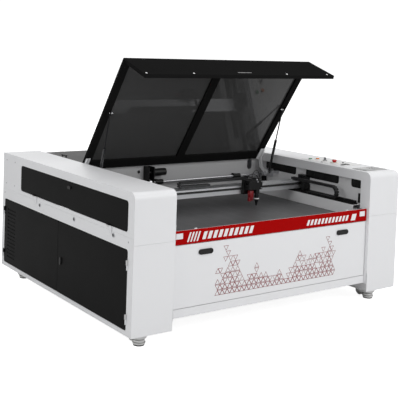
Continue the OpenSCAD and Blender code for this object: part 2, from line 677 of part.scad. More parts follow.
module gantry_beam() color("silver") {
  difference() {
    bx([end_x1 + c, gantry_y - beam_d / 2, beam_top - beam_h], [W - end_x1 - c, gantry_y + beam_d / 2, beam_top]);
    bx([end_x1 - 1, gantry_y - beam_d / 2 + 4, beam_top - beam_h + 4], [W - end_x1 + 1, gantry_y + beam_d / 2 - 4, beam_top - 4]);
  }
  // guide rail on the front, and the tray behind for the drag chain
  bx([end_x1 + 24, gantry_y - beam_d / 2 - 11, beam_top - 27], [W - end_x1 - 24, gantry_y - beam_d / 2, beam_top - 11]);
  bx([end_x1 + 60, gantry_y + beam_d / 2, beam_top - 2], [W - end_x1 - 60, gantry_y + beam_d / 2 + 50, beam_top]);
}
module gantry_ends() color(BLACK) {
  both() gantry_end();
  // shelf under the drag chain's moving end
  bx([y_chain_x - 1, gantry_y - 20, beam_top + c], [W - end_x1 + 1, gantry_y + 20, ledge_z + y_loop - y_run]);
}
module gantry_end() {
  // slide over the rail, and the bracket that carries the beam
  difference() {
    bx([end_x0, gantry_y - 75, ledge_z + 2], [end_x1, gantry_y + 75, beam_top - 30]);
    bx([rail_x - 10.3, gantry_y - 76, ledge_z + 1], [rail_x + 10.3, gantry_y + 76, ledge_z + 15.3]);
  }
  bx([end_x0, gantry_y - 70, beam_top - 30], [end_x1, gantry_y + 20, beam_top + 44]);
  bx([end_x1, gantry_y - 70, beam_top - 70], [end_x1 + 20, gantry_y - beam_d / 2 - 12, beam_top + 30]);
}
// ---------- carriage and head ----------
car_l = 108;                         // carriage, to the left and right of the lens
car_r = 50;
car_y = gantry_y - beam_d / 2;       // front face of the beam
nozzle_z = bed_z + focus_gap;
lens_y = car_y - 52;
lens_z0 = nozzle_z;
lens_r = 13;
module carriage() color(BLACK) {
  difference() {
    union() {
      bx([head_x - car_l, car_y - 26, beam_top - 62], [head_x + car_r, car_y - 1, beam_top + 50]);
      // mirror block in front, above the lens tube
      bx([head_x - car_l + 12, lens_y - 28, beam_top - 24], [head_x + 32, car_y - 26, beam_top + 44]);
      // clamp sleeve for the lens tube
      rod_z(head_x, lens_y, beam_top - 56, 34, 21);
      bx([head_x - 12, lens_y, beam_top - 56], [head_x + 12, car_y - 20, beam_top - 22]);
    }
    // groove for the rail
    bx([head_x - car_l - 1, car_y - 11.3, beam_top - 27.3], [head_x + car_r + 1, car_y + 1, beam_top - 10.7]);
    rod_z(head_x, lens_y, beam_top - 60, 80, lens_r + run);
    // beam port on the side of the mirror block
    rod_x(head_x - car_l + 8, lens_y, beam_top + 16, 30, 10);
  }
  // arm over the beam that takes the chain's end
  bx([head_x - 12, car_y - 2, beam_top + 24 + 27], [head_x + 12, gantry_y + beam_d / 2 + 44, beam_top + 24 + 31]);
  bx([head_x - 12, car_y - 26, beam_top + 48], [head_x + 12, car_y - 1, beam_top + 55]);
}
module lens_tube() color("firebrick") difference() {
  union() {
    rod_z(head_x, lens_y, lens_z0 + 42, beam_top - 30 - lens_z0 - 42, lens_r);
    rod_z(head_x, lens_y, lens_z0 + 40, 42, 17);
    // nozzle cone and tip
    translate([head_x, lens_y, lens_z0]) cylinder(h = 40, r1 = 4, r2 = 15, $fn = 48);
  }
  rod_z(head_x, lens_y, lens_z0 - 1, 140, 2.5);
}
// ---------- drag chains: one loop of each, open to the right and to the back ----------
x_run = 18;
x_loop = 46;
x_bend = 860;                        // left end of the loop
x_end = 1140;                        // fixed end of the lower run
module x_chain() color(BLACK) {
  y0 = gantry_y + beam_d / 2 + 10;
  z0 = beam_top + 1;
  difference() {
    translate([x_bend + x_loop / 2, y0 + 32, z0 + x_loop / 2]) rotate([90, 0, 0]) difference() {
      cylinder(h = 32, r = x_loop / 2, $fn = 64);
      translate([0, 0, -1]) cylinder(h = 34, r = x_loop / 2 - x_run, $fn = 64);
      translate([0, -x_loop, -1]) cube([x_loop, 2 * x_loop, 34]);
    }
  }
  bx([x_bend + x_loop / 2, y0, z0], [x_end, y0 + 32, z0 + x_run]);
  bx([x_bend + x_loop / 2, y0, z0 + x_loop - x_run], [head_x + 12, y0 + 32, z0 + x_loop]);
}
y_run = 18;
y_loop = beam_top + 22 - ledge_z;
y_bend = 285;                        // front end of the loop
y_chain_x = W - ledge_x + 8;
module y_chain() color(BLACK) {
  z0 = ledge_z + 2.5;
  translate([y_chain_x, y_bend + y_loop / 2, z0 + y_loop / 2]) rotate([0, 90, 0]) difference() {
    cylinder(h = 32, r = y_loop / 2, $fn = 64);
    translate([0, 0, -1]) cylinder(h = 34, r = y_loop / 2 - y_run, $fn = 64);
    translate([-y_loop, 0, -1]) cube([2 * y_loop, y_loop, 34]);
  }
  bx([y_chain_x, y_bend + y_loop / 2, z0], [y_chain_x + 32, y_bend + 330, z0 + y_run]);
  bx([y_chain_x, y_bend + y_loop / 2, z0 + y_loop - y_run], [y_chain_x + 32, gantry_y + 30, z0 + y_loop]);
}
// ---------- lifting table ----------
table_x0 = ledge_x + 6;
table_x1 = W - ledge_x - 6;
table_y0 = fy + 66;
table_y1 = rear_wall_y - 46;
screw_y = 660;
screw_r = 10;
screw_x = table_x0 + 26;
screw_z0 = frame_z + 2 * tube + c;
module table() color("gray") {
  difference() {
    bx([table_x0, table_y0, bed_z - 60], [table_x1, table_y1, bed_z - 22]);
    bx([table_x0 + 40, table_y0 + 40, bed_z - 61], [table_x1 - 40, screw_y - 30, bed_z - 21]);
    bx([table_x0 + 40, screw_y + 30, bed_z - 61], [table_x1 - 40, table_y1 - 40, bed_z - 21]);
    // nuts of the two lift screws
    both() rod_z(screw_x, screw_y, bed_z - 62, 42, screw_r + run);
  }
}
module honeycomb() color([0.3, 0.3, 0.31]) difference() {
  bx([table_x0, table_y0, bed_z - 22], [table_x1, table_y1, bed_z]);
  for (i = [0 : 3], j = [0 : 5]) {
    // long slots under the slats
    bx([table_x0 + 50 + i * 368, table_y0 + 60 + j * 190, bed_z - 23], [table_x0 + 380 + i * 368, table_y0 + 200 + j * 190, bed_z - 6]);
  }
  both() rod_z(screw_x, screw_y, bed_z - 24, 26, screw_r + 1.5);
}
module lift_screw() color("silver") {
  rod_z(screw_x, screw_y, screw_z0, bed_z - 24 - screw_z0, screw_r);
  rod_z(screw_x, screw_y, screw_z0 + 12, 22, 30);
}
// ---------- tube, power and controls ----------
tube_y = rear_wall_y + (D - rear_wall_y) * 5 / 17;
tube_z = 850;
module laser_tube() {
  color([0.8, 0.85, 0.9]) difference() {
    rod_x((W - tube_l) / 2, tube_y, tube_z, tube_l, tube_r);
    rod_x((W - tube_l) / 2 + 40, tube_y, tube_z, tube_l - 80, tube_r - 4);
  }
  // two clamps that hold the tube above the chassis
  color(BLACK) for (x = [W / 2 - 480, W / 2 + 440]) difference() {
    bx([x, tube_y - 60, 760 + c], [x + 40, tube_y + 60, tube_z + tube_r + 12]);
    rod_x(x - 1, tube_y, tube_z, 42, tube_r + c);
  }
}
ctrl_y = 480;
psu_l = 200;
// the power supply stands between the tube and the rear panel
psu_y = tube_y + tube_r + (D - 62 - tube_y - tube_r - psu_l) * 50 / 89;
module electronics() color("silver") {
  // power supply beside the tube, and the controller in the right cabinet
  bx([W / 2 + 100, psu_y, 760 + c], [W / 2 + 450, psu_y + psu_l, 900]);
  bx([W - 90, ctrl_y + 20, 300], [W - 30, ctrl_y + 420, 560]);
  bx([W - 30, ctrl_y, 260], [W - 24, ctrl_y + 440, 600]);
  bx([W - 24, ctrl_y, 580], [W - sheet - c, ctrl_y + 20, 600]);
}
panel_x0 = cx - 8;
panel_x1 = W - 34;
module control_plate() color([0.78, 0.78, 0.74]) {
  difference() {
    bx([panel_x0, panel_y, H], [panel_x1, panel_y + panel_l, H + 2]);
    for (p = button_at) rod_z(p[0], p[1], H - 1, 5, 8 + run);
    rod_z(key_at[0], key_at[1], H - 1, 5, 9 + run);
    rod_z(estop_at[0], estop_at[1], H - 1, 5, 9 + run);
  }
  // collars of the controls
  for (p = button_at) difference() {
    rod_z(p[0], p[1], H + 2, 5, 18);
    rod_z(p[0], p[1], H + 1, 7, 14.5);
    }
  difference() {
    rod_z(estop_at[0], estop_at[1], H + 2, 3, 33);
    rod_z(estop_at[0], estop_at[1], H + 1, 5, 9 + run);
  }
  // sockets with a cap at the front end of the plate
  bx([cx + 16, panel_y + 10, H + 2], [cx + 84, panel_y + 52, H + 8]);
  rod_z(cx + 62, panel_y + 38, H + 2, 16, 9);
  rod_z(cx + 107, panel_y + 112, H + 2, 5, 9);
  bx([cx - 4, panel_y + 222, H + 2], [cx + 18, panel_y + 246, H + 10]);
  // display with its keypad, near the front
  bx([cx - 18, display_y, H], [W - 44, display_y + 136, H + 4]);
}
button_at = [[cx + 18, panel_y + 388], [cx + 83, panel_y + 374]];
key_at = [cx + 83, panel_y + 289];
estop_at = [cx + 64, panel_y + 164];
module push_button(p, name) {
  rod_z(p[0], p[1], H - 12, 22, 8);
  rod_z(p[0], p[1], H + 6, 8, 14);
}
module button_green() color("seagreen") push_button(button_at[0]);
module button_amber() color("darkorange") push_button(button_at[1]);
module key_switch() color("dimgray") {
  rod_z(key_at[0], key_at[1], H - 12, 20, 9);
  rod_z(key_at[0], key_at[1], H + 2 + c, 8, 17);
  bx([key_at[0] - 1.5, key_at[1] - 12, H + 10], [key_at[0] + 1.5, key_at[1] + 12, H + 30]);
}
module estop() color("red") {
  rod_z(estop_at[0], estop_at[1], H - 12, 30, 9);
  translate([estop_at[0], estop_at[1], H + 12]) cylinder(h = 10, r1 = 14, r2 = 20, $fn = 48);
  translate([estop_at[0], estop_at[1], H + 22]) cylinder(h = 7, r1 = 20, r2 = 15, $fn = 48);
}

// ---------- casters ----------
axle_r = 6;
fork_gap = 1;
axle_z = wheel_r + 5;
swivel_z = ground_gap;
module at_caster(right, rear)
  translate([right ? W - caster_x : caster_x, rear ? D - caster_y : caster_y, 0]) children();
// levelling caster: swivel plate and housing, with the wheel trailing behind
module caster() color("silver") difference() {
  union() {
    rod_z(0, 0, swivel_z - 14, 14 - 0.4, 42);
    rod_z(0, 0, 46, swivel_z - 60 + 0.1, 38);
    bx([-wheel_w / 2 - 6, 0, 60], [wheel_w / 2 + 6, 42, swivel_z - 14]);
    for (x = [-wheel_w / 2 - fork_gap - 5, wheel_w / 2 + fork_gap])
      bx([x, 37, axle_z - 12], [x + 5, trail + 12, swivel_z - 14]);
    rod_x(-wheel_w / 2 - 9, trail, axle_z, wheel_w + 18, axle_r);
  }
  // bore for the foot's screw
  rod_z(0, 0, 40, swivel_z - 50, 8 + run);
}
module wheel() color([0.1, 0.1, 0.1]) difference() {
  rod_x(-wheel_w / 2, trail, axle_z, wheel_w, wheel_r);
  rod_x(-wheel_w / 2 - 1, trail, axle_z, wheel_w + 2, axle_r + run);
  for (x = [-wheel_w / 2 - 1, wheel_w / 2 - 5]) difference() {
    rod_x(x, trail, axle_z, 6, wheel_r - 9);
    rod_x(x - 1, trail, axle_z, 8, 13);
  }
}
// levelling foot: pad, thumb ring and screw
module foot() color([0.15, 0.15, 0.15]) {
  rod_z(0, 0, 0, 8, pad_r - 7);
  translate([0, 0, 8]) cylinder(h = 12, r1 = pad_r - 5, r2 = pad_r, $fn = 48);
  rod_z(0, 0, 20, 5, 14);
  rod_z(0, 0, 24, 12, 36);
  rod_z(0, 0, 36, 36, 8);
}

place() base_frame();
place() left_cabinet();
place() left_hood();
place() right_cabinet();
place() right_hood();
place() inner_walls();
place() front_rail();
place() red_band();
place() rear_wall();
place() rear_chassis();
place() rear_panel();
place() lid_pivots();
place() y_axis();
place() laser_tube();
place() electronics();
place() control_plate();
place() lid_frame();
place() lid_flap();
place() lid_glass();
place() lid_arms();
place() strut_tube();  // strut_tube_l
place() strut_rod();  // strut_rod_l
place() other_side() strut_tube();  // strut_tube_r
place() other_side() strut_rod();  // strut_rod_r
place() rear_deck();
place() left_flap();
place() left_flap_latch();
place() left_door_front();
place() left_door_rear();
place() left_door_latch();
place() front_door();
place() front_latch(latch_x[0]);  // front_latch_l
place() front_latch(latch_x[1]);  // front_latch_r
place() gantry_beam();
place() gantry_ends();
place() drive_shaft();
place() carriage();
place() lens_tube();
place() x_chain();
place() y_chain();
place() table();
place() honeycomb();
place() lift_screw();  // screw_l
place() other_side() lift_screw();  // screw_r
place() button_green();
place() button_amber();
place() key_switch();
place() estop();
place() at_caster(false, false) caster();  // caster_fl
place() at_caster(false, false) wheel();  // wheel_fl
place() at_caster(false, false) foot();  // foot_fl
place() at_caster(true, false) caster();  // caster_fr
place() at_caster(true, false) wheel();  // wheel_fr
place() at_caster(true, false) foot();  // foot_fr
place() at_caster(false, true) caster();  // caster_rl
place() at_caster(false, true) wheel();  // wheel_rl
place() at_caster(false, true) foot();  // foot_rl
place() at_caster(true, true) caster();  // caster_rr
place() at_caster(true, true) wheel();  // wheel_rr
place() at_caster(true, true) foot();  // foot_rr
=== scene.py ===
"""Finishes, small fittings and studio of a large-format laser engraving machine."""
import math
import random

import bmesh
import bpy
from mathutils import Matrix, Vector


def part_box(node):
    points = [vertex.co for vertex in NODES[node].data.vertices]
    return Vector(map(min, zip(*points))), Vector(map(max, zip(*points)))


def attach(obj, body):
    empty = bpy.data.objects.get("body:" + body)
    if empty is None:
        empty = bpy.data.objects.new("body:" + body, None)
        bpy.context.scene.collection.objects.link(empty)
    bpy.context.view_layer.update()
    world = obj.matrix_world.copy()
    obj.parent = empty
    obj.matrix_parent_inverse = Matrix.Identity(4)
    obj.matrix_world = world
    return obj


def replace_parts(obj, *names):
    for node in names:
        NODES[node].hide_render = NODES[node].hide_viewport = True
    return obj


bl_info = {
    "name": "Laser Engraving Machine",
    "version": (1, 0, 0),
    "blender": (4, 5, 0),
    "location": "View3D > Sidebar > Engraver",
    "description": "Dresses the solid model of a gantry laser engraving machine",
    "category": "Object",
}

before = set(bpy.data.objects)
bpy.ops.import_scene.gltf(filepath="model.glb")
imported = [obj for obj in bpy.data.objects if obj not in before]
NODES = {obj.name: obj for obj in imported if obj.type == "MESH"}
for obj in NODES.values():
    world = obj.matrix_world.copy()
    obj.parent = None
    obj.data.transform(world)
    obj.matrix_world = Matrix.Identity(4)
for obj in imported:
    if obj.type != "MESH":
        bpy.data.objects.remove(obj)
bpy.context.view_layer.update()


# ---------------------------------------------------------------- sizes and colours
def length(name, text, default, low, high):
    return bpy.props.FloatProperty(name=name, description=text, default=default, min=low, max=high,
                                   subtype="DISTANCE", unit="LENGTH", precision=4)


def colour(name, text, default):
    return bpy.props.FloatVectorProperty(name=name, description=text, default=default, size=3,
                                         min=0.0, max=1.0, subtype="COLOR")


class FinishSettings(bpy.types.PropertyGroup):
    """Colours of the main finishes."""
    shell: colour("Shell paint", "White powder coat of the cabinets", (0.78, 0.785, 0.80))
    band: colour("Band paint", "Red paint of the front band", (0.36, 0.0, 0.0))
    lid: colour("Lid paint", "Black paint of the lid frame", (0.011, 0.011, 0.011))
    doors: colour("Door paint", "Black paint of the side doors and flap", (0.0045, 0.0045, 0.0045))
    pane: colour("Pane", "Tint of the lid panes", (0.060, 0.060, 0.060))
    print_red: colour("Door print", "Colour of the printed triangles", (0.22, 0.0, 0.004))


class PatternSettings(bpy.types.PropertyGroup):
    """The printed triangles on the front door."""
    side: length("Side", "Side of one triangle", 0.035, 0.01, 0.2)
    stroke: length("Stroke", "Width of the printed line", 0.0048, 0.0005, 0.02)
    seed: bpy.props.IntProperty(name="Seed", description="Seed of the random layout", default=11,
                                min=0)


class ChainSettings(bpy.types.PropertyGroup):
    """The links of the drag chains."""
    pitch: length("Pitch", "Distance between two links", 0.020, 0.01, 0.06)
    fill: bpy.props.FloatProperty(name="Fill", description="Part of the pitch that a link covers",
                                  default=0.86,
                                  min=0.4, max=1.0, subtype="FACTOR")


class BrushSettings(bpy.types.PropertyGroup):
    """The brush strips behind the windows of the inner walls."""
    spacing: length("Spacing", "Distance between two tufts", 0.0045, 0.001, 0.03)
    tuft: length("Tuft", "Thickness of one tuft", 0.0034, 0.0005, 0.02)


# ---------------------------------------------------------------- node helpers
COLOR, FLOAT, VECTOR = "NodeSocketColor", "NodeSocketFloat", "NodeSocketVector"
INTEGER, MATERIAL, GEOMETRY = "NodeSocketInt", "NodeSocketMaterial", "NodeSocketGeometry"
SKIN_OUTPUTS = [(COLOR, "Color"), (FLOAT, "Roughness"), (VECTOR, "Normal")]
NOISE_ROUGHNESS = 0.55
DUST_COLOUR = (0.45, 0.44, 0.42)
BLACK_PART = (0.012, 0.012, 0.012)


def fill(tree, socket, value):
    """Links a socket to another one or sets its constant. A colour may leave out its alpha."""
    if isinstance(value, bpy.types.NodeSocket):
        tree.links.new(value, socket)
    elif socket.type == "RGBA" and len(value) == 3:
        socket.default_value = (*value, 1)
    else:
        socket.default_value = value


def fill_all(tree, node, values):
    for key, value in values.items():
        fill(tree, node.inputs[key], value)


def add_node(tree, kind, inputs=None, **settings):
    """A new node: its settings come first, because they can change its sockets."""
    n = tree.nodes.new(kind)
    for key, value in settings.items():
        setattr(n, key, value)
    fill_all(tree, n, inputs or {})
    return n


def maths(tree, op, a, b=None):
    values = {0: a} if b is None else {0: a, 1: b}
    return add_node(tree, "ShaderNodeMath", values, operation=op).outputs[0]


def noise(tree, vector, scale, detail):
    return add_node(tree, "ShaderNodeTexNoise", {"Vector": vector, "Scale": scale, "Detail": detail,
                                                 "Roughness": NOISE_ROUGHNESS}).outputs["Fac"]


def mix_colour(tree, fac, a, b):
    return add_node(tree, "ShaderNodeMix", {0: fac, 6: a, 7: b}, data_type="RGBA").outputs[2]


def object_place(tree):
    return tree.nodes.new("ShaderNodeTexCoord").outputs["Object"]


def axes(tree, vector):
    return add_node(tree, "ShaderNodeSeparateXYZ", {0: vector}).outputs


def shaded(tree, rgb, change):
    """A colour made lighter or darker by a signed change."""
    value = maths(tree, "ADD", change, 1.0)
    return add_node(tree, "ShaderNodeHueSaturation",
                    {"Value": value, "Color": rgb}).outputs["Color"]


def bumped(tree, height, strength, distance, **more):
    values = {"Distance": distance, "Strength": strength, "Height": height, **more}
    return add_node(tree, "ShaderNodeBump", values).outputs["Normal"]


def new_tree(name, kind, inputs, outputs):
    """A node tree with its sockets, and its input and output nodes."""
    t = bpy.data.node_groups.new(name, kind)
    for socket, label, value in inputs:
        s = t.interface.new_socket(name=label, in_out="INPUT", socket_type=socket)
        if value is not None:
            s.default_value = value
    for socket, label in outputs:
        t.interface.new_socket(name=label, in_out="OUTPUT", socket_type=socket)
    return t, t.nodes.new("NodeGroupInput"), t.nodes.new("NodeGroupOutput")


# ---------------------------------------------------------------- node groups
def surface_skin():
    """Mottled colour, fine orange peel and softened edges of a coated or moulded surface."""
    g, i, o = new_tree("Surface Skin", "ShaderNodeTree",
                       [(COLOR, "Color", (0.5, 0.5, 0.5, 1)), (FLOAT, "Mottle", 0.05),
                        (FLOAT, "Mottle Scale", 3.0), (FLOAT, "Roughness", 0.4),
                        (FLOAT, "Peel", 0.1), (FLOAT, "Peel Scale", 900.0),
                        (FLOAT, "Edge Radius", 0.0015)], SKIN_OUTPUTS)
    co = object_place(g)
    swing = maths(g, "SUBTRACT", noise(g, co, i.outputs["Mottle Scale"], 4.0), 0.5)
    fine = noise(g, co, i.outputs["Peel Scale"], 2.0)
    edge = add_node(g, "ShaderNodeBevel", {"Radius": i.outputs["Edge Radius"]}, samples=4)
    fill_all(g, o, {
        "Color": shaded(g, i.outputs["Color"], maths(g, "MULTIPLY", swing, i.outputs["Mottle"])),
        "Roughness": maths(g, "ADD", i.outputs["Roughness"], maths(g, "MULTIPLY", swing, 0.12)),
        "Normal": bumped(g, fine, i.outputs["Peel"], 0.0004, Normal=edge.outputs["Normal"])})


def brush_streaks():
    """Long fine streaks of a ground or brushed metal."""
    g, i, o = new_tree("Brush Streaks", "ShaderNodeTree",
                       [(COLOR, "Color", (0.6, 0.6, 0.6, 1)), (VECTOR, "Stretch", (1, 1, 1)),
                        (FLOAT, "Depth", 0.2), (FLOAT, "Roughness", 0.3)], SKIN_OUTPUTS)
    place = add_node(g, "ShaderNodeVectorMath", {0: object_place(g), 1: i.outputs["Stretch"]},
                     operation="MULTIPLY")
    streak = noise(g, place.outputs[0], 1.0, 3.0)
    change = maths(g, "MULTIPLY", maths(g, "SUBTRACT", streak, 0.5), 0.35)
    fill_all(g, o, {
        "Color": shaded(g, i.outputs["Color"], change),
        "Roughness": maths(g, "ADD", i.outputs["Roughness"], maths(g, "MULTIPLY", streak, 0.15)),
        "Normal": bumped(g, streak, i.outputs["Depth"], 0.0002)})


def settled_dust():
    """Dust that gathers on faces that look up."""
    g, i, o = new_tree("Settled Dust", "ShaderNodeTree",
                       [(COLOR, "Color", (0.5, 0.5, 0.5, 1)), (COLOR, "Dust", (0.5, 0.48, 0.45, 1)),
                        (FLOAT, "Amount", 0.2), (FLOAT, "Roughness", 0.4)], SKIN_OUTPUTS[:2])
    normal = g.nodes.new("ShaderNodeNewGeometry").outputs["True Normal"]
    up = maths(g, "MAXIMUM", axes(g, normal)[2], 0.0)
    mask = maths(g, "MULTIPLY", maths(g, "MULTIPLY", up, i.outputs["Amount"]),
                 noise(g, object_place(g), 14.0, 6.0))
    fill_all(g, o, {
        "Color": mix_colour(g, mask, i.outputs["Color"], i.outputs["Dust"]),
        "Roughness": maths(g, "ADD", i.outputs["Roughness"], maths(g, "MULTIPLY", mask, 0.5))})


def place_group(tree, name, values):
    return add_node(tree, "ShaderNodeGroup", values, node_tree=bpy.data.node_groups[name])


# ---------------------------------------------------------------- materials
def mat(name):
    return bpy.data.materials[name]


def new_material(name, **sockets):
    m = bpy.data.materials.new(name)
    m.use_nodes = True
    bsdf = m.node_tree.nodes["Principled BSDF"]
    fill_all(m.node_tree, bsdf, {k.replace("_", " "): v for k, v in sockets.items()})
    return m.node_tree, bsdf


def zone_mask(tree, axis, low, high):
    """One inside a slab of object space across an axis, and zero outside."""
    place = axes(tree, object_place(tree))[axis]
    return maths(tree, "MULTIPLY", maths(tree, "GREATER_THAN", place, low),
                 maths(tree, "LESS_THAN", place, high))


def coated(name, rgb, rough=0.4, metal=0.0, mottle=0.04, scale=3.0, peel=0.1, peel_scale=900.0,
           edge=0.0015, dust=0.0, zones=(), **sockets):
    """A painted, plated or moulded surface. Zones are (axis, low, high, colour)."""
    t, bsdf = new_material(name, Metallic=metal, **sockets)
    for *slab, other in zones:
        rgb = mix_colour(t, zone_mask(t, *slab), rgb, other)
    skin = place_group(t, "Surface Skin", {
        "Color": rgb, "Mottle": mottle, "Mottle Scale": scale, "Roughness": rough,
        "Peel": peel, "Peel Scale": peel_scale, "Edge Radius": edge})
    top = skin
    if dust:
        top = place_group(t, "Settled Dust", {
            "Color": skin.outputs["Color"], "Roughness": skin.outputs["Roughness"],
            "Dust": DUST_COLOUR, "Amount": dust})
    fill_all(t, bsdf, {"Base Color": top.outputs["Color"], "Roughness": top.outputs["Roughness"],
                       "Normal": skin.outputs["Normal"]})


def brushed(name, rgb, rough, stretch, depth=0.2, dark_zone=None):
    """A ground or brushed bare metal. A dark zone is a slab that is black and not metal."""
    t, bsdf = new_material(name, Metallic=1.0)
    s = place_group(t, "Brush Streaks", {"Color": rgb, "Depth": depth, "Roughness": rough,
                                         "Stretch": stretch})
    base = s.outputs["Color"]
    if dark_zone:
        mask = zone_mask(t, *dark_zone)
        base = mix_colour(t, mask, base, BLACK_PART)
        fill(t, bsdf.inputs["Metallic"], maths(t, "SUBTRACT", 1.0, mask))
    fill_all(t, bsdf, {"Base Color": base, "Roughness": s.outputs["Roughness"],
                       "Normal": s.outputs["Normal"]})


def honeycomb_metal(name, cells_per_m=90.0, slats_per_m=8.3):
    """Blackened slats with fine cells."""
    t, bsdf = new_material(name, Metallic=0.3)
    co = object_place(t)
    cell = add_node(t, "ShaderNodeTexVoronoi",
                    {"Scale": cells_per_m, "Randomness": 0.15, "Vector": co},
                    feature="DISTANCE_TO_EDGE").outputs["Distance"]
    wall = maths(t, "LESS_THAN", cell, 0.07)
    slat = maths(t, "LESS_THAN",
                 maths(t, "FRACT", maths(t, "MULTIPLY", axes(t, co)[0], slats_per_m)), 0.045)
    soot = noise(t, co, 5.0, 5.0)
    ground = mix_colour(t, soot, (0.088, 0.088, 0.089), (0.118, 0.118, 0.119))
    cells = mix_colour(t, wall, ground, (0.10, 0.10, 0.105))
    fill_all(t, bsdf, {"Base Color": mix_colour(t, slat, cells, (0.14, 0.14, 0.145)),
                       "Roughness": maths(t, "ADD", maths(t, "MULTIPLY", soot, 0.2), 0.38),
                       "Normal": bumped(t, cell, 0.35, 0.001)})


def tinted(name, skin, **sockets):
    """A clear material whose colour alone comes from the skin."""
    t, bsdf = new_material(name, **sockets)
    fill(t, bsdf.inputs["Base Color"], place_group(t, "Surface Skin", skin).outputs["Color"])


# ---------------------------------------------------------------- mesh helpers
ON_AXIS = 1e-6
WELD = 1e-6


def box_of(node):
    lo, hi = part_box(node)
    return Vector(lo), Vector(hi)


def soften(bm, edges, offset):
    bmesh.ops.bevel(bm, geom=list(edges), offset=offset, segments=2, affect="EDGES", profile=0.5)


def add_box(bm, lo, hi, bevel=0.0):
    lo, hi = Vector(lo), Vector(hi)
    r = bmesh.ops.create_cube(bm, size=1.0)
    bmesh.ops.transform(bm, verts=r["verts"], matrix=Matrix.Translation((lo + hi) / 2)
                        @ Matrix.Diagonal((*(hi - lo), 1)))
    if bevel:
        soften(bm, {e for v in r["verts"] for e in v.link_edges}, bevel)


def add_turned(bm, profile, centre, axis=(0, 0, 1), steps=24):
    """A closed solid of revolution: profile is a list of (radius, height)."""
    turn = Vector((0, 0, 1)).rotation_difference(Vector(axis)).to_matrix().to_4x4()
    m = Matrix.Translation(centre) @ turn
    rings = []
    for r, h in profile:
        angles = [2 * math.pi * k / steps for k in range(1 if r < ON_AXIS else steps)]
        rings.append([bm.verts.new(m @ Vector((r * math.cos(a), r * math.sin(a),
                                               h))) for a in angles])
    for a, b in zip(rings, rings[1:]):
        for k in range(steps):
            j = (k + 1) % steps
            if len(a) > 1 and len(b) > 1:
                bm.faces.new((a[k], a[j], b[j], b[k]))
            elif len(b) > 1:
                bm.faces.new((a[0], b[k], b[j]))
            elif len(a) > 1:
                bm.faces.new((a[k], a[j], b[0]))


def add_tube(bm, path, radius, steps=10):
    """A round tube with closed ends along a list of points."""
    path = [Vector(p) for p in path]
    rings, side = [], None
    for k, p in enumerate(path):
        d = (path[min(k + 1, len(path) - 1)] - path[max(k - 1, 0)]).normalized()
        if side is None:
            side = d.orthogonal().normalized()
        side = (side - d * side.dot(d)).normalized()
        up = d.cross(side)
        angles = [2 * math.pi * s / steps for s in range(steps)]
        rings.append([bm.verts.new(p + radius * (math.cos(a) * side + math.sin(a) * up))
                      for a in angles])
    for a, b in zip(rings, rings[1:]):
        for s in range(steps):
            bm.faces.new((a[s], a[(s + 1) % steps], b[(s + 1) % steps], b[s]))
    bm.faces.new(list(reversed(rings[0])))
    bm.faces.new(rings[-1])


def new_piece(me, name, material, body):
    """Makes a mesh a piece that rides on a body."""
    ob = bpy.data.objects.new(name, me)
    bpy.context.scene.collection.objects.link(ob)
    me.materials.clear()
    me.materials.append(mat(material))
    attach(ob, body)
    return ob


def finish_piece(bm, name, material, body, smooth=35.0):
    """Turns a bmesh into a piece that rides on a body."""
    bmesh.ops.remove_doubles(bm, verts=bm.verts, dist=WELD)
    bmesh.ops.recalc_face_normals(bm, faces=bm.faces)
    me = bpy.data.meshes.new(name)
    bm.to_mesh(me)
    bm.free()
    new_piece(me, name, material, body)
    if smooth:
        me.shade_smooth()
        me.set_sharp_from_angle(angle=math.radians(smooth))


# ---------------------------------------------------------------- geometry nodes helpers
def geometry_tree(name, inputs):
    return new_tree(name, "GeometryNodeTree",
                    [(GEOMETRY, "Geometry", None), *inputs, (MATERIAL, "Material", None)],
                    [(GEOMETRY, "Geometry")])


def points_along(t, i, spacing):
    """Points at even steps along the lines of the input."""
    curve = add_node(t, "GeometryNodeMeshToCurve", {"Mesh": i.outputs["Geometry"]})
    return add_node(t, "GeometryNodeCurveToPoints",
                    {"Curve": curve.outputs["Curve"], "Length": i.outputs[spacing]}, mode="LENGTH")


def repeat_on(t, i, o, points, shape, rotation):
    """Ends a tree: copies of a shape on points, made real and painted."""
    inst = add_node(t, "GeometryNodeInstanceOnPoints",
                    {"Points": points, "Instance": shape, "Rotation": rotation})
    real = add_node(t, "GeometryNodeRealizeInstances", {"Geometry": inst.outputs["Instances"]})
    paint = add_node(t, "GeometryNodeSetMaterial", {"Geometry": real.outputs["Geometry"],
                                                    "Material": i.outputs["Material"]})
    fill(t, o.inputs["Geometry"], paint.outputs["Geometry"])


def apply_tree(source, tree, values, name, material, body, turn=None):
    """Runs a tree on a source object and keeps the result as a plain mesh piece."""
    values = {**values, "Material": mat(material)}
    mod = source.modifiers.new("tree", "NODES")
    mod.node_group = tree
    for item in tree.interface.items_tree:
        if item.in_out == "INPUT" and item.name in values:
            mod[item.identifier] = values[item.name]
    bpy.context.view_layer.update()
    dg = bpy.context.evaluated_depsgraph_get()
    me = bpy.data.meshes.new_from_object(source.evaluated_get(dg), depsgraph=dg)
    bpy.data.objects.remove(source, do_unlink=True)
    me.name = name
    if turn:
        me.transform(turn)
    return new_piece(me, name, material, body)


def points_object(name, points, edges=()):
    me = bpy.data.meshes.new(name)
    me.from_pydata([tuple(p) for p in points], list(edges), [])
    ob = bpy.data.objects.new(name, me)
    bpy.context.scene.collection.objects.link(ob)
    return ob


def line_object(name, points):
    return points_object(name, points, [(k, k + 1) for k in range(len(points) - 1)])


# ---------------------------------------------------------------- places taken from the frame
def X(mm):
    """X of a distance from the left cabinet's outer face."""
    return (mm - 1150.0) / 1000.0


def Y(mm):
    """Y of a distance from the cabinets' front face."""
    return (mm - 1020.0) / 1000.0


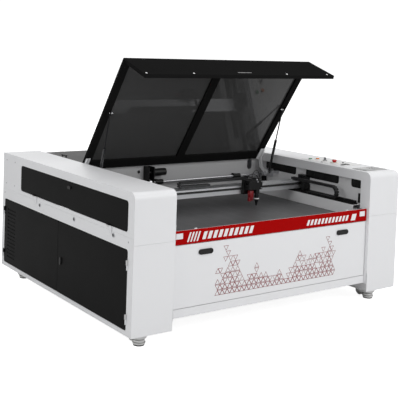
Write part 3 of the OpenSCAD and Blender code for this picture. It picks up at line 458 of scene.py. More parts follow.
FINISHES = {
    "Housing Paint": "left_cabinet left_hood right_cabinet right_hood front_rail front_door "
                     "rear_panel lid_arms",
    "Inner Paint": "inner_walls rear_chassis", "Rear Wall Shade Paint": "rear_wall",
    "Band Paint": "red_band", "Frame Paint": "base_frame", "Bracket Steel": "lid_pivots",
    "Drive Black": "y_axis", "Tube Glass": "laser_tube", "Unit Metal": "electronics",
    "Panel Paint": "control_plate", "Lid Paint": "lid_frame lid_flap", "Tinted Pane": "lid_glass",
    "Strut Black": "strut_tube_l strut_tube_r", "Rod Steel": "strut_rod_l strut_rod_r",
    "Deck Paint": "rear_deck", "Door Paint": "left_flap left_door_front left_door_rear",
    "Latch Plastic": "left_flap_latch left_door_latch front_latch_l front_latch_r",
    "Beam Aluminium": "gantry_beam", "Motion Black": "gantry_ends carriage",
    "Shaft Steel": "drive_shaft screw_l screw_r", "Lens Steel": "lens_tube",
    "Table Paint": "table", "Bed Metal": "honeycomb", "Green Plastic": "button_green",
    "Amber Plastic": "button_amber", "Key Metal": "key_switch", "Stop Plastic": "estop",
    "Caster Zinc": "caster_fl caster_fr caster_rl caster_rr",
    "Wheel Nylon": "wheel_fl wheel_fr wheel_rl wheel_rr",
    "Pad Rubber": "foot_fl foot_fr foot_rl foot_rr",
}
DOOR_EDGE = (0.6, 0.6, 0.6)


def grey(value):
    return (value, value, value)


def rounded(rgb):
    return tuple(round(x, 5) for x in rgb)


class ENGRAVER_OT_finishes(bpy.types.Operator):
    """Makes every finish and puts it on the solid model's own nodes"""
    bl_idname = "engraver.finishes"
    bl_label = "Finishes"

    def execute(self, context):
        s = context.scene.engraver_finish
        for make in (surface_skin, brush_streaks, settled_dust):
            make()
        coated("Housing Paint", rounded(s.shell), 0.42, mottle=0.025, peel=0.12, edge=0.0025,
               dust=0.06)
        coated("Inner Paint", (0.80, 0.80, 0.81), 0.45, mottle=0.05, peel=0.12, edge=0.002,
               dust=0.15)
        # The rear wall takes the inner walls' white paint darkened to 0.40: painted shade on the
        # machine's inside back wall.
        coated("Rear Wall Shade Paint", (0.40, 0.40, 0.405), 0.45, mottle=0.05, peel=0.12, edge=0.002,
               dust=0.15)
        coated("Band Paint", rounded(s.band), 0.5, mottle=0.04, peel=0.06, edge=0.001,
               Specular_IOR_Level=0.04)
        coated("Frame Paint", (0.66, 0.66, 0.67), 0.5, mottle=0.06, edge=0.003, dust=0.1)
        coated("Drive Black", grey(0.006), 0.4, mottle=0.2, edge=0.001, dust=0.03,
               Specular_IOR_Level=0.25)
        coated("Motion Black", grey(0.007), 0.36, mottle=0.2, edge=0.001, dust=0.02,
               Specular_IOR_Level=0.3)
        coated("Panel Paint", grey(0.74), 0.4, mottle=0.03, edge=0.0015, dust=0.05,
               zones=[(1, -2.0, Y(240), grey(0.40))])
        coated("Lid Paint", rounded(s.lid), 0.6, mottle=0.15, peel=0.2, peel_scale=500, edge=0.0025,
               dust=0.003, Specular_IOR_Level=0.0)
        coated("Deck Paint", (0.034, 0.034, 0.035), 0.5, mottle=0.15, peel=0.25, peel_scale=500,
               edge=0.002, dust=0.12, Specular_IOR_Level=0.15)
        coated("Door Paint", rounded(s.doors), 0.45, mottle=0.15, peel=0.2, peel_scale=500,
               edge=0.003, dust=0.008,
               zones=[(1, Y(0), Y(66.6), DOOR_EDGE), (1, Y(1932.4), Y(1980), DOOR_EDGE),
                      (2, 0.66, 0.7297, DOOR_EDGE)], Specular_IOR_Level=0.05)
        coated("Latch Plastic", grey(0.007), 0.42, mottle=0.1, edge=0.0015, Specular_IOR_Level=0.3)
        coated("Strut Black", (0.006, 0.006, 0.007), 0.18, mottle=0.1, edge=0.001, Coat_Weight=0.5)
        coated("Unit Metal", (0.55, 0.56, 0.58), 0.35, metal=1.0, mottle=0.2, scale=9, peel=0.05,
               edge=0.001, dust=0.2)
        coated("Table Paint", (0.10, 0.10, 0.11), 0.45, mottle=0.15, edge=0.002, dust=0.2)
        coated("Green Plastic", (0.0, 0.20, 0.06), 0.22, mottle=0.05, peel=0.02, edge=0.002,
               Coat_Weight=0.3)
        coated("Amber Plastic", (0.75, 0.20, 0.01), 0.22, mottle=0.05, peel=0.02, edge=0.002,
               Coat_Weight=0.3)
        coated("Stop Plastic", (0.48, 0.008, 0.008), 0.25, mottle=0.05, peel=0.03, edge=0.003,
               Coat_Weight=0.3)
        coated("Key Metal", (0.42, 0.42, 0.44), 0.3, metal=1.0, mottle=0.1, scale=60, edge=0.001)
        coated("Caster Zinc", grey(0.84), 0.4, mottle=0.08, scale=40, peel=0.1, edge=0.001,
               dust=0.05)
        coated("Wheel Nylon", (0.50, 0.50, 0.49), 0.5, mottle=0.10, scale=30, peel=0.1, edge=0.002,
               dust=0.05)
        coated("Pad Rubber", (0.80, 0.80, 0.79), 0.5, mottle=0.08, scale=30, peel=0.3, edge=0.002,
               zones=[(2, -0.1, 0.0079, BLACK_PART)])
        coated("Chain Plastic", (0.010, 0.010, 0.011), 0.5, mottle=0.2, scale=30, peel=0.1,
               edge=0.0006, dust=0.1)
        coated("Brush Hair", grey(0.010), 0.75, mottle=0.4, scale=300, peel=0.3, edge=0.0002)
        coated("White Print", grey(0.80), 0.4, mottle=0.03, peel=0.03, edge=0.0001)
        coated("Red Print", rounded(s.print_red), 0.4, mottle=0.05, peel=0.03, edge=0.0001)
        coated("Screen Glass", (0.20, 0.205, 0.21), 0.25, mottle=0.05, peel=0.0, edge=0.0005,
               Coat_Weight=0.2)
        coated("Key Cap", grey(0.50), 0.5, mottle=0.05, peel=0.2, edge=0.001)
        coated("Pale Plastic", (0.72, 0.70, 0.60), 0.4, mottle=0.04, edge=0.001)
        coated("Pen Red", (0.20, 0.004, 0.008), 0.35, mottle=0.06, edge=0.001, Coat_Weight=0.1)
        coated("Button Chrome", grey(0.85), 0.3, mottle=0.03, edge=0.0004)
        coated("Grip Grey", grey(0.17), 0.4, mottle=0.05, edge=0.0005)
        coated("Cable Skin", grey(0.010), 0.45, mottle=0.15, scale=40, edge=0.0003)
        brushed("Bracket Steel", (0.60, 0.60, 0.62), 0.28, (300, 300, 12))
        brushed("Shaft Steel", (0.62, 0.62, 0.64), 0.2, (6, 700, 700))
        brushed("Beam Aluminium", (0.72, 0.73, 0.75), 0.28, (3, 900, 900), 0.3,
                dark_zone=(1, -2.0, Y(729.6)))
        brushed("Lens Steel", (0.03, 0.03, 0.032), 0.25, (900, 900, 12))
        brushed("Strut Chrome", (0.80, 0.80, 0.82), 0.12, (900, 60, 60), 0.05)
        brushed("Rod Steel", (0.03, 0.03, 0.032), 0.32, (900, 60, 60), 0.05)
        honeycomb_metal("Bed Metal")
        tinted("Tinted Pane", {"Color": rounded(s.pane), "Mottle": 0.12, "Mottle Scale": 1.6,
                               "Roughness": 0.03, "Peel": 0.0, "Edge Radius": 0.001},
               Roughness=0.03, IOR=1.52, Alpha=0.975)
        tinted("Tube Glass", {"Color": (0.85, 0.92, 0.95), "Mottle": 0.05, "Roughness": 0.05},
               Roughness=0.05, IOR=1.47, Transmission_Weight=0.85)
        for finish, nodes in FINISHES.items():
            for node in nodes.split():
                self.paint(node, finish)
        return {"FINISHED"}


    @staticmethod
    def paint(node, name):
        ob = NODES[node]
        for k in range(max(1, len(ob.material_slots))):
            if k < len(ob.material_slots):
                ob.material_slots[k].material = mat(name)
            else:
                ob.data.materials.append(mat(name))


# of a triangle's side: its outer radius, its height, and its centre over the row's foot
TRI_RADIUS, TRI_RISE = 0.57735, 0.866
CENTRE_UP, CENTRE_DOWN = 0.2887, 0.5774


class ENGRAVER_OT_door_print(bpy.types.Operator):
    """Prints loose rows of triangle outlines on the front door"""
    bl_idname = "engraver.door_print"
    bl_label = "Door Print"

    def execute(self, context):
        s = context.scene.engraver_pattern
        t, i, o = geometry_tree("Triangle Print", [(FLOAT, "Side", 0.05), (FLOAT, "Stroke", 0.003)])
        radius = maths(t, "MULTIPLY", i.outputs["Side"], TRI_RADIUS)
        tri = add_node(t, "GeometryNodeCurvePrimitiveCircle", {"Resolution": 3, "Radius": radius})
        line = add_node(t, "GeometryNodeCurvePrimitiveQuadrilateral",
                        {"Height": 0.0005, "Width": i.outputs["Stroke"]})
        sweep = add_node(t, "GeometryNodeCurveToMesh", {"Curve": tri.outputs["Curve"],
                                                        "Profile Curve": line.outputs["Curve"]})
        turn = add_node(t, "GeometryNodeInputNamedAttribute", {"Name": "turn"},
                        data_type="FLOAT_VECTOR")
        repeat_on(t, i, o, i.outputs["Geometry"], sweep.outputs["Mesh"], turn.outputs["Attribute"])

        rng = random.Random(s.seed)
        lo, _ = box_of("front_door")
        pitch, rise = s.side + s.stroke * 1.1, s.side * TRI_RISE + s.stroke * 1.1
        points, turns = [], []
        x0, x1, z0, z1 = X(655), X(1700), 0.262, 0.560
        rows = int((z1 - z0) / rise) + 1
        for r in range(rows):
            up = r / max(1, rows - 1)
            for k in range(int((x1 - x0) / (pitch / 2)) + 1):
                x = x0 + k * pitch / 2
                heap = (0.55 + 0.30 * math.sin(8.1 * (x - x0) + 0.6)
                        + 0.15 * math.sin(21.0 * (x - x0)))
                chance = 1.15 - 1.05 * up / max(0.25, heap) + (0.06 if up > 0.5 else 0.0)
                if rng.random() < chance:
                    down = (k + r) % 2
                    points.append((x, lo.y - 0.0003,
                                   z0 + r * rise + s.side * (CENTRE_DOWN if down else CENTRE_UP)))
                    turns.append((math.pi / 2, math.pi / 2 if down else -math.pi / 2, 0.0))
        src = points_object("print_points", points)
        att = src.data.attributes.new("turn", "FLOAT_VECTOR", "POINT")
        for k, v in enumerate(turns):
            att.data[k].vector = v
        apply_tree(src, t, {"Side": s.side, "Stroke": s.stroke},
                   "door_triangles", "Red Print", "front_door")
        return {"FINISHED"}


# groups of plain bars: X of the left foot, width, and Z of foot and top, in mm
BARS = ([(404 + 24 * k, 12, 634, 694) for k in range(4)]
        + [(520 + 42 * k, 26, 640, 688) for k in range(10)]
        + [(1410 + 34 * k, 20, 640, 678) for k in range(12)] + [(1838, 44, 636, 682)])
BAR_LEAN = 0.35


class ENGRAVER_OT_band_bars(bpy.types.Operator):
    """Puts plain slanted bars on the red band and closes the corners beside it"""
    bl_idname = "engraver.band_bars"
    bl_label = "Band Bars"

    def execute(self, context):
        lo, _ = box_of("red_band")
        bm = bmesh.new()
        y0, y1 = lo.y - 0.0006, lo.y + 0.0002
        for x, w, z0, z1 in BARS:
            lean = BAR_LEAN * (z1 - z0)
            quad = [(X(x), z0 / 1000), (X(x + w), z0 / 1000),
                    (X(x + w + lean), z1 / 1000), (X(x + lean), z1 / 1000)]
            front = [bm.verts.new((a, y0, b)) for a, b in quad]
            back = [bm.verts.new((a, y1, b)) for a, b in quad]
            bm.faces.new(front)
            bm.faces.new(list(reversed(back)))
            for k in range(4):
                bm.faces.new((front[k], back[k], back[(k + 1) % 4], front[(k + 1) % 4]))
        finish_piece(bm, "band_bars", "White Print", "machine", smooth=0)
        bm = bmesh.new()
        for x in (298.6, 2000.1):
            add_box(bm, (X(x), Y(2), 0.157), (X(x + 1.3), Y(92), 0.240))
        finish_piece(bm, "corner_plates", "Housing Paint", "machine")
        return {"FINISHED"}


# start and length of each window of the inner walls along Y, in mm
WINDOWS = ((100, 142), (373, 372), (862, 378))


class ENGRAVER_OT_brushes(bpy.types.Operator):
    """Hangs brush strips behind the windows of the inner walls"""
    bl_idname = "engraver.brushes"
    bl_label = "Brush Strips"

    def execute(self, context):
        s = context.scene.engraver_brush
        t, i, o = geometry_tree("Brush Strip", [(FLOAT, "Spacing", 0.0045), (FLOAT, "Tuft", 0.0034),
                                                (FLOAT, "Drop", 0.09), (INTEGER, "Seed", 3)])
        points = points_along(t, i, "Spacing")
        tuft = add_node(t, "GeometryNodeMeshCone", {
            "Vertices": 6, "Radius Top": maths(t, "MULTIPLY", i.outputs["Tuft"], 0.35),
            "Radius Bottom": maths(t, "MULTIPLY", i.outputs["Tuft"], 0.62),
            "Depth": i.outputs["Drop"]})
        turn = add_node(t, "FunctionNodeRandomValue", {
            0: (math.pi - 0.02, -0.03, -1.0), 1: (math.pi + 0.02, 0.03, 1.0),
            "Seed": i.outputs["Seed"]}, data_type="FLOAT_VECTOR")
        repeat_on(t, i, o, points.outputs["Points"], tuft.outputs["Mesh"], turn.outputs[0])
        points, edges = [], []
        for x in (X(243), X(2057)):
            for y, l in WINDOWS:
                n = len(points)
                points += [(x, Y(y - 4), 0.927), (x, Y(y + l + 4), 0.927)]
                edges.append((n, n + 1))
        src = points_object("brush_lines", points, edges)
        apply_tree(src, t, {"Spacing": s.spacing, "Tuft": s.tuft, "Drop": 0.095},
                   "brush_strips", "Brush Hair", "machine")
        bm = bmesh.new()
        for x, inner in ((239, 7), (2061, 4)):
            for y, l in WINDOWS:
                add_box(bm, (X(x - 1), Y(y - 8), 0.829), (X(x + 1), Y(y + l + 8), 0.925))
                add_box(bm, (X(x - 4), Y(y - 8), 0.925), (X(x + inner), Y(y + l + 8), 0.935), 0.001)
        finish_piece(bm, "brush_holders", "Drive Black", "machine")
        return {"FINISHED"}


class ENGRAVER_OT_chains(bpy.types.Operator):
    """Links both drag chains along their runs"""
    bl_idname = "engraver.chains"
    bl_label = "Drag Chains"

    def tree(self):
        t, i, o = geometry_tree("Chain Links", [(FLOAT, "Pitch", 0.02), (FLOAT, "Fill", 0.86),
                                                (FLOAT, "Width", 0.03), (FLOAT, "Height", 0.018)])
        pitch, width, height = (i.outputs[k] for k in ("Pitch", "Width", "Height"))
        points = points_along(t, i, "Pitch")
        join = t.nodes.new("GeometryNodeJoinGeometry")
        long = maths(t, "MULTIPLY", pitch, i.outputs["Fill"])

        def slab(size, place):
            size, place = (add_node(t, "ShaderNodeCombineXYZ", dict(enumerate(v))).outputs[0]
                           for v in (size, place))
            cube = add_node(t, "GeometryNodeMeshCube", {"Size": size})
            move = add_node(t, "GeometryNodeTransform", {"Geometry": cube.outputs["Mesh"],
                                                         "Translation": place})
            fill(t, join.inputs["Geometry"], move.outputs["Geometry"])

        half_w = maths(t, "SUBTRACT", maths(t, "MULTIPLY", width, 0.5), 0.0015)
        half_h = maths(t, "SUBTRACT", maths(t, "MULTIPLY", height, 0.5), 0.001)
        inner = maths(t, "SUBTRACT", width, 0.004)
        for sign in (1.0, -1.0):
            slab((long, 0.003, height), (0.0, maths(t, "MULTIPLY", half_w, sign), 0.0))
            slab((maths(t, "MULTIPLY", long, 0.5), inner, 0.0018),
                 (0.0, 0.0, maths(t, "MULTIPLY", half_h, sign)))
        slab((maths(t, "MULTIPLY", pitch, 1.02), maths(t, "SUBTRACT", width, 0.009),
              maths(t, "MULTIPLY", height, 0.5)), grey(0.0))
        aim = add_node(t, "FunctionNodeAlignRotationToVector",
                       {"Vector": points.outputs["Tangent"]},
                       axis="X", pivot_axis="Y")
        repeat_on(t, i, o, points.outputs["Points"], join.outputs["Geometry"],
                  aim.outputs["Rotation"])
        return t

    @staticmethod
    def run_points(x_low, x_top, x_bend, z_low, z_top):
        """Centre line of a chain: lower run, round bend at the left, upper run."""
        r = (z_top - z_low) / 2
        pts = [(x_low, 0, z_low)]
        for k in range(25):
            a = -math.pi / 2 - math.pi * k / 24
            pts.append((x_bend + r + r * math.cos(a), 0, (z_low + z_top) / 2 + r * math.sin(a)))
        pts.append((x_top, 0, z_top))
        return pts

    def execute(self, context):
        s = context.scene.engraver_chain
        t = self.tree()
        half = 0.009
        lo, hi = box_of("x_chain")
        y = (lo.y + hi.y) / 2
        pts = self.run_points(X(1135), hi.x - 0.004, lo.x + half, lo.z + half, hi.z - half)
        src = line_object("x_chain_line", [(a, y, c) for a, _, c in pts])
        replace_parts(apply_tree(src, t, {"Pitch": s.pitch * 0.7, "Fill": s.fill,
                                        "Width": hi.y - lo.y, "Height": 2 * half},
                               "x_chain_links", "Chain Plastic", "chain_x"),
                    "x_chain")
        lo, hi = box_of("y_chain")
        x = (lo.x + hi.x) / 2
        pts = self.run_points(lo.y + 0.325, hi.y - 0.004, lo.y + half, lo.z + half, hi.z - half)
        src = line_object("y_chain_line", [(a, -x, c) for a, _, c in pts])
        ob = apply_tree(src, t, {"Pitch": s.pitch, "Fill": s.fill, "Width": hi.x - lo.x,
                                 "Height": 2 * half},
                        "y_chain_links", "Chain Plastic", "chain_y",
                        turn=Matrix.Rotation(math.pi / 2, 4, "Z"))
        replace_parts(ob, "y_chain")
        return {"FINISHED"}


PANEL_TOP = 0.979


class ENGRAVER_OT_panel(bpy.types.Operator):
    """Dresses the display, its keys and the small controls"""
    bl_idname = "engraver.panel"
    bl_label = "Control Panel"

    def execute(self, context):
        bm = bmesh.new()
        z = PANEL_TOP
        add_box(bm, (X(2046), Y(96), z), (X(2140), Y(206), z + 0.0012), 0.0004)
        finish_piece(bm, "display_screen", "Screen Glass", "machine")
        bm = bmesh.new()
        for c in range(3):
            for r in range(4):
                x, y = 2158 + 27 * c, 104 + 26 * r
                add_box(bm, (X(x), Y(y), z), (X(x + 19), Y(y + 17), z + 0.0022), 0.001)
        finish_piece(bm, "display_keys", "Key Cap", "machine")
        bm = bmesh.new()
        add_turned(bm, [(0.0335, 0.0), (0.0335, 0.0022), (0.032, 0.0032),
                        (0.0225, 0.0034), (0.0225, 0.0)],
                   (X(2114), Y(494), 0.980), steps=40)
        finish_piece(bm, "estop_ring", "Pale Plastic", "machine")
        bm = bmesh.new()
        for node in ("button_amber", "key_switch"):
            lo, hi = box_of(node)
            mx, my = (lo.x + hi.x) / 2, (lo.y + hi.y) / 2
            r = max(hi.x - lo.x, hi.y - lo.y) / 2 + 0.0010
            add_turned(bm, [(r, 0.0), (r + 0.006, 0.0), (r + 0.006, 0.0006), (r, 0.0006), (r, 0.0)],
                       (mx, my, 0.9772), steps=32)
        finish_piece(bm, "legend_rings", "Pale Plastic", "machine")
        bm = bmesh.new()
        add_box(bm, (X(2070), Y(343), 0.983), (X(2131), Y(379), 0.9862), 0.001)
        add_turned(bm, [(0.0, 0.0), (0.0085, 0.0), (0.0085, 0.003), (0.007, 0.0045), (0.0, 0.0045)],
                   (X(2157), Y(442), 0.982), steps=24)
        finish_piece(bm, "socket_caps", "Latch Plastic", "machine")
        return {"FINISHED"}


LID_PIVOT = Vector((0.0, Y(1171), 0.815))
LID_OPEN = math.radians(55)
FLAP_DOWN = Vector((0.0, -86.0, -293.0)).normalized()
FLAP_OUT = Vector((0.0, FLAP_DOWN.z, -FLAP_DOWN.y))


def opened(point):
    """A point of the closed lid, turned to where the open lid has it."""
    return LID_PIVOT + Matrix.Rotation(-LID_OPEN, 3, "X") @ (Vector(point) - LID_PIVOT)


def on_flap(x, down, out):
    """A point of the lid's front flap: distance down from its bend and height over it, in mm."""
    base = Vector((X(x), Y(128), 0.975))
    return opened(base + FLAP_DOWN * (down / 1000) + FLAP_OUT * (out / 1000))


class ENGRAVER_OT_lid_trim(bpy.types.Operator):
    """Puts the bright buttons, the grip insert and the strut studs on the lid"""
    bl_idname = "engraver.lid_trim"
    bl_label = "Lid Trim"

    def execute(self, context):
        out = (on_flap(1150, 100, 10) - on_flap(1150, 100, 0)).normalized()
        bm = bmesh.new()
        for x in (316, 694, 1525, 1927):
            add_turned(bm, [(0.0, 0.0), (0.0072, 0.0), (0.0072, 0.0008),
                            (0.0058, 0.0018), (0.0, 0.0020)],
                       on_flap(x, 293.4, 5.0), out, 24)
        finish_piece(bm, "lid_buttons", "Button Chrome", "lid")
        bm = bmesh.new()
        corners = [on_flap(x, down, up) for up in (-2.8, 0.4) for x, down in
                   ((1099, 252.4), (1221, 252.4), (1221, 262.4), (1099, 262.4))]
        v = [bm.verts.new(c) for c in corners]
        for f in ((0, 1, 2, 3), (7, 6, 5, 4), (0, 4, 5, 1), (1, 5, 6, 2), (2, 6, 7, 3),
                  (3, 7, 4, 0)):
            bm.faces.new([v[k] for k in f])
        soften(bm, bm.edges, 0.0005)
        finish_piece(bm, "grip_insert", "Grip Grey", "lid")
        bm = bmesh.new()
        for side in (1, -1):
            eye = opened((0.0, Y(592), 0.944))
            add_turned(bm, [(0.0, -0.005), (0.0038, -0.005), (0.0038, 0.0),
                            (0.0075, 0.0), (0.0075, 0.002),
                            (0.0055, 0.0045), (0.0, 0.0055)], (side * X(341.6), eye.y, eye.z),
                            (side, 0, 0), 24)
            add_turned(bm, [(0.0, 0.0), (0.0085, 0.0), (0.0085, 0.003), (0.0045, 0.004),
                            (0.0045, 0.013), (0.0, 0.0135)],
                       (side * X(356.4), eye.y, eye.z), (side, 0, 0), 24)
        finish_piece(bm, "strut_studs", "Strut Chrome", "lid")
        bm = bmesh.new()
        for side in (1, -1):
            add_turned(bm, [(0.0, 0.0), (0.0065, 0.0), (0.0065, 0.0015),
                            (0.005, 0.003), (0.0, 0.003)],
                       (side * X(356), Y(1085), 0.830), (side, 0, 0), 24)
        finish_piece(bm, "strut_clips", "Strut Chrome", "machine")
        return {"FINISHED"}


LOCK_HEIGHT = 0.677


class ENGRAVER_OT_side_locks(bpy.types.Operator):
    """Adds the lock caps over the doors, the hood's small screws and a black sheet of painted shade
    behind the louvres
    """
    bl_idname = "engraver.side_locks"
    bl_label = "Side Locks"

    def execute(self, context):
        bm = bmesh.new()
        slots = bmesh.new()
        for y in (239, 766.4, 1303.5):
            place = (X(-3), Y(y), LOCK_HEIGHT)
            add_turned(bm, [(0.0, 0.0), (0.0140, 0.0), (0.0140, 0.0012), (0.0125, 0.0022),
                            (0.0098, 0.0022), (0.0094, 0.0012), (0.0, 0.0012)], place, (-1, 0, 0),
                            32)
            add_turned(slots, [(0.0, 0.0), (0.0090, 0.0), (0.0090, 0.0018), (0.0, 0.0018)],
                       place, (-1, 0, 0), 24)
        finish_piece(bm, "lock_caps", "Key Metal", "machine")
        finish_piece(slots, "lock_cores", "Latch Plastic", "machine")
        bm = bmesh.new()
        for y, z in ((1760, 0.925), (1915, 0.925), (1760, 0.745), (1915, 0.745),
                     (60, 0.669), (1940, 0.669)):
            add_turned(bm, [(0.0, 0.0), (0.0055, 0.0), (0.0050, 0.0012),
                            (0.0022, 0.0018), (0.0, 0.0012)],
                       (X(0), Y(y), z), (-1, 0, 0), 16)
        finish_piece(bm, "hood_screws", "Key Metal", "machine")
        # A black sheet just behind the louvres: painted shade for the dark inside of the cabinet
        # seen through them.
        bm = bmesh.new()
        add_box(bm, (X(3.2), Y(1720), 0.172), (X(4.4), Y(1876), 0.562))
        finish_piece(bm, "louvre_shade_sheet", "Door Paint", "door_rear")
        return {"FINISHED"}


CUP_FLAT = 0.0345


class ENGRAVER_OT_caster_cups(bpy.types.Operator):
    """Puts a tapered cup round the housing of each levelling caster"""
    bl_idname = "engraver.caster_cups"
    bl_label = "Caster Cups"

    def execute(self, context):
        plan = [(math.cos(math.pi + math.pi * k / 24),
                 math.sin(math.pi + math.pi * k / 24)) for k in range(25)]
        plan += [(1.0, 0.64), (-1.0, 0.64)]
        # height and radius of each ring; the cup is flat on the wheel's side
        rings = [(0.0462, 0.0385), (0.0462, 0.0440), (0.0480, 0.0465), (0.0670, 0.0545),
                 (0.0950, 0.0560), (0.0964, 0.0550), (0.0964, 0.0425)]
        for corner, x, y in (("fl", -1.012, -0.890), ("fr", 1.012, -0.890),
                             ("rl", -1.012, 0.830), ("rr", 1.012, 0.830)):
            bm = bmesh.new()
            loops = [[bm.verts.new((x + r * px, y + min(r * py, CUP_FLAT), z)) for px, py in plan]
                     for z, r in rings]
            for a, b in zip(loops, loops[1:] + loops[:1]):
                for k in range(len(plan)):
                    j = (k + 1) % len(plan)
                    bm.faces.new((a[k], a[j], b[j], b[k]))
            finish_piece(bm, "caster_cup_" + corner, "Caster Zinc", "caster_" + corner)
        return {"FINISHED"}


class ENGRAVER_OT_head_fittings(bpy.types.Operator):
    """Adds the mirror screws, focus pen, air hose and white ring to the laser head"""
    bl_idname = "engraver.head_fittings"
    bl_label = "Head Fittings"

    def execute(self, context):
        cx, cy = X(1490), Y(678)
        bm = bmesh.new()
        for dx, dz in ((-0.020, 0.036), (0.020, 0.036), (0.020, -0.014)):
            add_turned(bm, [(0.0, 0.0), (0.0055, 0.0), (0.0055, 0.010),
                            (0.0045, 0.012), (0.0, 0.012)],
                       (cx + dx, cy - 0.028, 0.812 + dz), (0, -1, 0), 16)
        add_turned(bm, [(0.0, 0.0), (0.0055, 0.0), (0.0055, 0.005), (0.0045, 0.007), (0.0, 0.007)],
                   (cx, cy, 0.856), (0, 0, 1), 20)
        for dx, dz in ((0.033, 0.006), (0.041, -0.006), (0.036, -0.020), (0.028, 0.022)):
            add_turned(bm, [(0.0, 0.0), (0.003, 0.0), (0.003, 0.004), (0.0, 0.005)],
                       (cx + dx, cy + 0.020, 0.830 + dz), (0, -1, 0), 12)
        finish_piece(bm, "mirror_screws", "Key Metal", "head")
        bm = bmesh.new()
        add_box(bm, (cx - 0.078, cy - 0.022, 0.726), (cx - 0.046, cy + 0.010, 0.780), 0.003)
        add_box(bm, (cx - 0.084, cy - 0.016, 0.700), (cx - 0.066, cy + 0.004, 0.730), 0.002)
        add_box(bm, (cx - 0.060, cy - 0.014, 0.706), (cx - 0.044, cy + 0.002, 0.728), 0.002)
        add_box(bm, (cx - 0.088, cy - 0.012, 0.744), (cx - 0.076, cy + 0.000, 0.762), 0.002)
        finish_piece(bm, "focus_pen", "Pen Red", "head")
        bm = bmesh.new()
        add_turned(bm, [(0.0175, 0.0), (0.021, 0.001), (0.021, 0.007),
                        (0.0175, 0.008), (0.0175, 0.0)],
                   (cx, cy, 0.712), steps=28)
        finish_piece(bm, "lens_ring", "White Print", "lens")
        bm = bmesh.new()
        # a slack loop over the mirror block, and the lead that comes down from the chain's end
        path = []
        for k in range(25):
            a = math.pi * (1.02 - 1.04 * k / 24)
            path.append((cx - 0.010 + 0.042 * math.cos(a), cy - 0.004 + 0.0006 * k,
                         0.853 + 0.078 * math.sin(a)))
        add_tube(bm, path, 0.0030)
        start, end = Vector((cx + 0.004, Y(800), 0.867)), Vector((cx + 0.030, cy + 0.006, 0.850))
        path = []
        for k in range(17):
            f = k / 16
            p = start.lerp(end, f)
            path.append((p.x + 0.008 * math.sin(math.pi * f), p.y,
                         p.z + 0.030 * math.sin(math.pi * f)))
        add_tube(bm, path, 0.0026)
        finish_piece(bm, "head_hoses", "Cable Skin", "head")
        return {"FINISHED"}


FLOOR_REACH = 30
FLOOR_GLOW = 0.89
WORLD_SEEN, WORLD_LIGHT = 0.60, 0.50
# solved camera: place, focal length for a frame 400 wide, and turns in radians
CAMERA_PLACE = (X(-2614.0), Y(-4283.72), 1.87034)
CAMERA_FOCAL = 851.704
FRAME_WIDTH = 400
SENSOR = 36.0
CAMERA_YAW, CAMERA_PITCH, CAMERA_ROLL = 0.619972, 0.047893, 0.034176


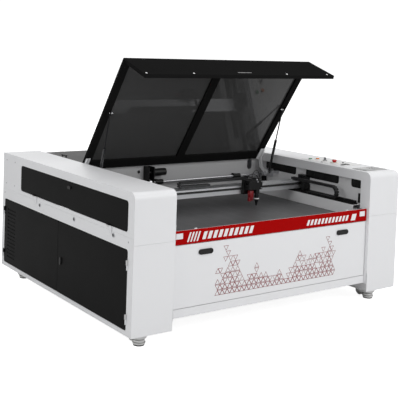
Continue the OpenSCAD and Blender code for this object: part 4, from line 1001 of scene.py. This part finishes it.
class ENGRAVER_OT_stage(bpy.types.Operator):
    """Sets the floor, the lamps, the world and the camera"""
    bl_idname = "engraver.stage"
    bl_label = "Studio"

    @staticmethod
    def seen_directly(tree):
        """One for rays from the camera or through glass, and the node that tells them apart."""
        path = tree.nodes.new("ShaderNodeLightPath")
        return maths(tree, "MAXIMUM", path.outputs["Is Camera Ray"],
                     path.outputs["Is Transmission Ray"]), path

    def execute(self, context):
        scene = context.scene
        scene.view_settings.view_transform = "Standard"
        r = FLOOR_REACH
        me = bpy.data.meshes.new("floor")
        me.from_pydata([(-r, -r, 0), (r, -r, 0), (r, r, 0), (-r, r, 0)], [], [(0, 1, 2, 3)])
        floor = bpy.data.objects.new("floor", me)
        scene.collection.objects.link(floor)
        t, b = new_material("Floor", Roughness=0.9, Base_Color=grey(0.80))
        seen = self.seen_directly(t)[0]
        glow = add_node(t, "ShaderNodeEmission", {"Color": (1, 1, 1),
                                                  "Strength": maths(t, "MULTIPLY", seen,
                                                                    FLOOR_GLOW)})
        both = add_node(t, "ShaderNodeAddShader", {0: b.outputs[0], 1: glow.outputs[0]})
        fill(t, t.nodes["Material Output"].inputs["Surface"], both.outputs[0])
        me.materials.append(mat("Floor"))

        world = bpy.data.worlds.new("Studio")
        scene.world = world
        world.use_nodes = True
        t = world.node_tree
        seen, path = self.seen_directly(t)
        seen = maths(t, "MAXIMUM", seen, path.outputs["Is Glossy Ray"])
        fill_all(t, t.nodes["Background"], {
            "Color": (1, 1, 1),
            "Strength": maths(t, "ADD", maths(t, "MULTIPLY", seen, WORLD_SEEN), WORLD_LIGHT)})

        def lamp(name, place, aim, size, power):
            data = bpy.data.lights.new(name, "AREA")
            data.shape = "DISK"
            data.size = size
            data.energy = power
            ob = bpy.data.objects.new(name, data)
            ob.location = place
            ob.rotation_euler = (Vector(aim) - Vector(place)).to_track_quat("-Z", "Y").to_euler()
            scene.collection.objects.link(ob)

        lamp("front_lamp", (1.5, -6.0, 4.0), (0, 0, 0.5), 4.0, 150)
        lamp("left_lamp", (-6.5, -1.5, 4.0), (0, 0, 0.5), 4.0, 80)
        lamp("top_lamp", (0.0, 0.5, 6.5), (0, 0, 0.5), 5.0, 100)

        data = bpy.data.cameras.new("camera")
        cam = bpy.data.objects.new("camera", data)
        scene.collection.objects.link(cam)
        yaw, pitch, roll = CAMERA_YAW, CAMERA_PITCH, CAMERA_ROLL
        fwd = Vector((math.sin(yaw) * math.cos(pitch), math.cos(yaw) * math.cos(pitch),
                      -math.sin(pitch)))
        right = Vector((math.cos(yaw), -math.sin(yaw), 0))
        up = right.cross(fwd)
        r2 = math.cos(roll) * right + math.sin(roll) * up
        u2 = -math.sin(roll) * right + math.cos(roll) * up
        turn = Matrix((r2, u2, -fwd)).transposed().to_4x4()
        cam.matrix_world = Matrix.Translation(CAMERA_PLACE) @ turn
        data.sensor_width = SENSOR
        data.lens = CAMERA_FOCAL / FRAME_WIDTH * SENSOR
        data.shift_x = 0.0
        data.shift_y = -0.2875
        data.clip_end = 100
        scene.camera = cam
        return {"FINISHED"}


class ENGRAVER_PT_panel(bpy.types.Panel):
    """Lists the sizes and the steps."""
    bl_idname = "ENGRAVER_PT_panel"
    bl_label = "Laser Engraver"
    bl_space_type = "VIEW_3D"
    bl_region_type = "UI"
    bl_category = "Engraver"

    def draw(self, context):
        for _, attr in SETTINGS:
            group_data = getattr(context.scene, attr)
            for p in group_data.bl_rna.properties:
                if p.identifier not in ("name", "rna_type"):
                    self.layout.prop(group_data, p.identifier)
        for op in OPERATORS:
            self.layout.operator(op.bl_idname)


SETTINGS = [(FinishSettings, "engraver_finish"), (PatternSettings, "engraver_pattern"),
            (ChainSettings, "engraver_chain"), (BrushSettings, "engraver_brush")]
OPERATORS = [ENGRAVER_OT_finishes, ENGRAVER_OT_door_print, ENGRAVER_OT_band_bars,
             ENGRAVER_OT_brushes,
             ENGRAVER_OT_chains, ENGRAVER_OT_panel, ENGRAVER_OT_lid_trim, ENGRAVER_OT_side_locks,
             ENGRAVER_OT_caster_cups, ENGRAVER_OT_head_fittings, ENGRAVER_OT_stage]


def register():
    for cls, attr in SETTINGS:
        bpy.utils.register_class(cls)
        setattr(bpy.types.Scene, attr, bpy.props.PointerProperty(type=cls))
    for cls in OPERATORS + [ENGRAVER_PT_panel]:
        bpy.utils.register_class(cls)


def unregister():
    for cls in reversed(OPERATORS + [ENGRAVER_PT_panel]):
        bpy.utils.unregister_class(cls)
    for cls, attr in reversed(SETTINGS):
        delattr(bpy.types.Scene, attr)
        bpy.utils.unregister_class(cls)


def main():
    register()
    for op in OPERATORS:
        kind, name = op.bl_idname.split(".")
        getattr(getattr(bpy.ops, kind), name)()


if __name__ == "__main__":
    main()
